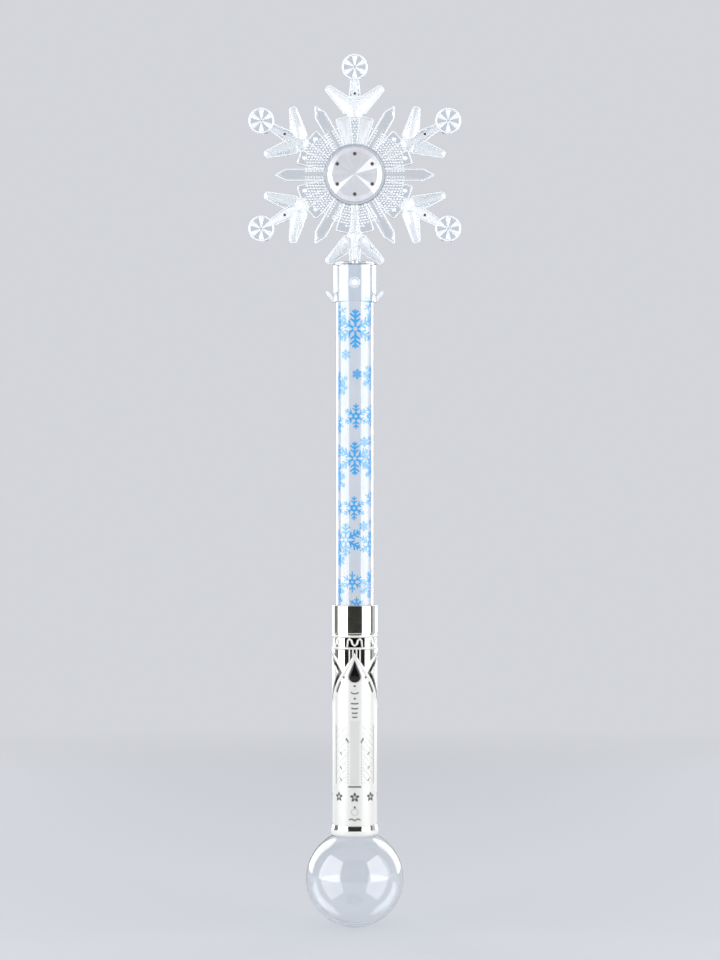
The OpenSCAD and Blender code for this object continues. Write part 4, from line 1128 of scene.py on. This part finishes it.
def cradle():
    """The cells' cradle: a block with a round-bottomed slot, and its two ends."""
    slot = [(CRADLE_SLOT_R * math.cos(math.radians(a)), SLOT_Y + CRADLE_SLOT_R * math.sin(math.radians(a)))
            for a in range(0, -181, -12)]
    first = [(-CRADLE_X, CRADLE_BACK), (CRADLE_X, CRADLE_BACK), (CRADLE_X, CRADLE_FRONT)]
    last = (-CRADLE_X, CRADLE_FRONT)
    trough = first + [(CRADLE_SLOT_R, CRADLE_FRONT), *slot, (-CRADLE_SLOT_R, CRADLE_FRONT), last]
    end = first + [last]
    return [upright(trough, BAY_FOOT, BAY_TOP), upright(end, BAY_TOP - 0.05, BAY_TOP + 1.15),
            upright(end, BAY_FOOT - 1.2, BAY_FOOT + 0.05)]


def screw_well(x, z):
    """The tube that a closing screw goes down."""
    return stacked([[(x + p, y, z + q) for p, q in circle(r, 24)] for r, y in WELL], [0] * 4, False, False)


grip_front = plated_wall((HALF_TURN, 0, GRIP_LEN), [button_hole], [button_hole], True, GRIP_IR)
piece("grip_front_relief", grip_front, ROOT, ["grip_front"], 60)
rear_holes = [screw_hole, bay_edge, thread_hole]
grip_rear = plated_wall((HALF_TURN, 0, GRIP_LEN), [screw_hole, door_edge, bay_edge, thread_hole], rear_holes,
                        False, GRIP_IR, (door_edge, RECESS_R, RECESS_PAINTED_SHADE))
piece("grip_rear_relief", grip_rear, ROOT, ["grip_rear"], 60)

trough, *ends = cradle()
piece("cell_bay", fused(trough, [("UNION", ends)], [PLATED]), ROOT)
wells = join([screw_well(flip * x, z) for flip in (-1, 1) for x, z in SCREWS])
piece("screw_wells", solid_mesh("wells", wells, [PLATED]), ROOT)

door_span = (GRIP_R * math.asin(DOOR_X / GRIP_R), GRIP_TOP - DOOR_TOP, GRIP_TOP - DOOR_FOOT)
door = plated_wall(door_span, [head_seat, thread_hole, tab_slot], [thread_hole, tab_slot], False, DOOR_IR,
                   (head_seat, HEAD_SEAT_FLOOR, None), DOOR_RISE)
piece("battery_door_relief", door, "battery_door", ["battery_door"], 60)


# Button and its spring

STEM_R, STEM_BACK = 1.75, 8.15
# Margin round the teardrop and distance in front of the wand's axis, from lip to face
BUTTON_ROWS = [(1.2, 10.4), (1.2, 12.3), (-0.3, 12.3), (-0.3, 14.75), (-0.45, 15.05), (-0.8, 15.3),
               (-1.5, 15.5), (-2.4, 15.62), (-3.4, 15.66)]
COIL_R, COIL_WIRE_R, COIL_TURNS, COIL_FRONT, COIL_BACK = 2.35, 0.22, 6, -10.15, -6.55
COIL_FLAT = 0.12


def drop_outline(margin, steps=28):
    """The teardrop's outline with a margin, anticlockwise from the tip."""
    r = BUTTON_R + margin
    tip_at = Vector((0, BUTTON_TIP * r / BUTTON_R))
    lean = math.degrees(math.asin(BUTTON_R / BUTTON_TIP))
    sweep = [math.radians(180 - lean + (180 + 2 * lean) * k / steps) for k in range(steps + 1)]
    round_part = [(r * math.cos(a), r * math.sin(a)) for a in sweep]
    left = [tuple(Vector(round_part[0]).lerp(tip_at, t)) for t in (0.75, 0.5, 0.25)]
    right = [(-x, y) for x, y in reversed(left)]
    return [tuple(tip_at)] + left + round_part + right


def button():
    """The push button: stem, trapped lip and domed teardrop face."""
    count = len(drop_outline(0))
    angles = [math.pi / 2 + 2 * math.pi * k / count for k in range(count)]
    stem = [(STEM_R * math.cos(a), STEM_R * math.sin(a)) for a in angles]
    loops = [at(stem, STEM_BACK), at(stem, BUTTON_ROWS[0][1])]
    loops += [at(drop_outline(margin), d) for margin, d in BUTTON_ROWS]
    points, faces, slots = stacked(loops, [0] * (len(loops) - 1))
    return [(x, -d, y + BUTTON_Z) for x, y, d in points], faces, slots


def coil():
    """The spring wound about the button's axis, with flat ends."""
    steps = COIL_TURNS * 20
    loops = []
    for k in range(steps + 1):
        t = k / steps
        a = 2 * math.pi * COIL_TURNS * t
        y = COIL_FRONT + (COIL_BACK - COIL_FRONT) * min(max((t - COIL_FLAT) / (1 - 2 * COIL_FLAT), 0), 1)
        ring = [(COIL_R + across, y + along) for across, along in circle(COIL_WIRE_R, 8)]
        loops.append([(r * math.cos(a), wire_y, BUTTON_Z + r * math.sin(a)) for r, wire_y in ring])
    return stacked(loops, [0] * steps)


piece("teardrop_button", solid_mesh("button", button(), [BLACK_ABS], 0), "button", ["button"])
spring_mesh = solid_mesh("coil", coil(), [SPRING_STEEL], 0)
spring = piece("coiled_button_spring", spring_mesh, ROOT, ["button_spring"])
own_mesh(spring)


# Finishes of the solids that stay as they are

KEPT = {
    "front_reflector": FOIL, "rear_reflector": FOIL, "head_board": BOARD, "head_leds": LAMP,
    "tube_led_holder": WHITE_ABS, "tube_led": LAMP, "grip_screws": ZINC_STEEL, "push_switch": CHIP,
    "control_board": BOARD, "control_chip": CHIP, "cells": CELL_STEEL, "cell_spring": SPRING_STEEL,
    "cell_contacts": BRASS, "door_screw": ZINC_STEEL, "pull_tab": TAB_FILM, "ball_led_holder": WHITE_ABS,
    "ball_led": LAMP, **WIRES,
}
for name, material in KEPT.items():
    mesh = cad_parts[name].data
    mesh.materials.clear()
    mesh.materials.append(material)


# Stage, lights and camera, in metres

FLOOR_Z, FLOOR_R = (BALL_Z - BALL_R) * MM, 9
BACKDROP = linear("#D3D5DA")
FLAG_FOOT, FLAG_TOP = -0.2, 2.4
LAMP_Z = 0.15
VIEW_HALF_ANGLE = math.radians(11.8)


def floor_paper():
    """Matt studio paper: plain and pale, lit near the wand and even further off."""
    material, tree = new_material("studio_paper")
    place = add(tree, "NewGeometry").outputs["Position"]
    far = add(tree, "VectorMath", {"operation": "LENGTH"}, {0: place})
    even = add(tree, "MapRange", {"interpolation_type": "SMOOTHSTEP"},
               {"Value": far.outputs["Value"], "From Min": 0.45, "From Max": 1.3})
    share = add(tree, "Math", {"operation": "MULTIPLY"}, {0: looked_at(tree), 1: even.outputs["Result"]})
    lit = add(tree, "BsdfDiffuse", inputs={"Color": linear("#D4D6DB")})
    plain = add(tree, "Emission", inputs={"Color": BACKDROP, "Strength": 1.0})
    mix = add(tree, "MixShader", inputs={0: share.outputs[0], 1: lit.outputs[0], 2: plain.outputs[0]})
    add(tree, "OutputMaterial", inputs={"Surface": mix.outputs[0]})
    return material


def about(azimuth, distance):
    """(x, y) at a distance from the wand; azimuth is from the front, towards +X."""
    a = math.radians(azimuth)
    return distance * math.sin(a), -distance * math.cos(a)


def flag(name, azimuth, distance, width, tone):
    """An upright board that only mirrors see, at an azimuth from the front."""
    material, tree = new_material(name)
    even = add(tree, "Emission", inputs={"Color": linear(tone)})
    add(tree, "OutputMaterial", inputs={"Surface": even.outputs[0]})
    x, y = about(azimuth, distance)
    side_x, side_y = about(azimuth + 90, 0.5 * width)
    left, right = (x - side_x, y - side_y), (x + side_x, y + side_y)
    corners = [(*left, FLAG_FOOT), (*right, FLAG_FOOT), (*right, FLAG_TOP), (*left, FLAG_TOP)]
    mesh = bpy.data.meshes.new(name)
    mesh.from_pydata(corners, [], [(0, 1, 2, 3)])
    mesh.materials.append(material)
    board = placed(name, mesh)
    board.visible_camera = False
    board.visible_diffuse = False
    board.visible_transmission = False
    board.visible_shadow = False
    return board


def softbox(name, azimuth, distance, width, tall, height, radiance):
    """A large lamp facing the wand, at an azimuth from the front."""
    light = bpy.data.lights.new(name, "AREA")
    light.shape = "RECTANGLE"
    light.size = width
    light.size_y = tall
    light.energy = radiance * math.pi * width * tall
    lamp = placed(name, light)
    lamp.location = (*about(azimuth, distance), height)
    aim = Vector((0, 0, height)) - lamp.location
    lamp.rotation_euler = aim.to_track_quat("-Z", "Y").to_euler()
    lamp.visible_camera = False
    return lamp


floor_mesh = bpy.data.meshes.new("floor")
floor_mesh.from_pydata([(x, y, FLOOR_Z) for x, y in circle(FLOOR_R, 96)], [], [tuple(range(96))])
floor_mesh.materials.append(floor_paper())
floor = placed("floor", floor_mesh)
flag("black_flag", 0, 1.95, 2.9, "#383934")
flag("grey_flag_left", -107, 0.8, 0.4, "#85857F")
flag("grey_flag_right", 93, 0.8, 0.22, "#85857F")

world = bpy.data.worlds.new("studio")
scene.world = world
world.use_nodes = True
tree = world.node_tree
tree.nodes.clear()
fill = add(tree, "Background", inputs={"Color": linear("#F2F4F8"), "Strength": 0.5})
pale = add(tree, "Background", inputs={"Color": BACKDROP, "Strength": 1.0})
sky = add(tree, "MixShader", inputs={0: looked_at(tree), 1: fill.outputs[0], 2: pale.outputs[0]})
add(tree, "OutputWorld", inputs={"Surface": sky.outputs[0]})

softbox("softbox_right", 69, 1.0, 1.2, 1.5, LAMP_Z, 2.1)
softbox("softbox_left", -67, 1.0, 1.2, 1.5, LAMP_Z, 2.1)
softbox("rim_right", 140, 1.1, 0.6, 1.5, LAMP_Z, 1.6)
softbox("rim_left", -140, 1.1, 0.6, 1.5, LAMP_Z, 1.6)
front_fill = softbox("front_fill", 0, 1.8, 1.2, 1.2, 0.3, 1.8)
front_fill.visible_glossy = False
front_fill.visible_transmission = False

camera_data = bpy.data.cameras.new("camera")
camera_data.sensor_fit = "AUTO"
camera_data.sensor_width = 36
camera_data.lens = 0.5 * camera_data.sensor_width / math.tan(VIEW_HALF_ANGLE)
camera_data.clip_start = 0.01
camera = placed("camera", camera_data)
camera.location = (0.0035, -1.5365, 0.0927)
camera.rotation_euler = (math.pi / 2, 0, 0)
scene.camera = camera
scene.view_settings.view_transform = "Standard"
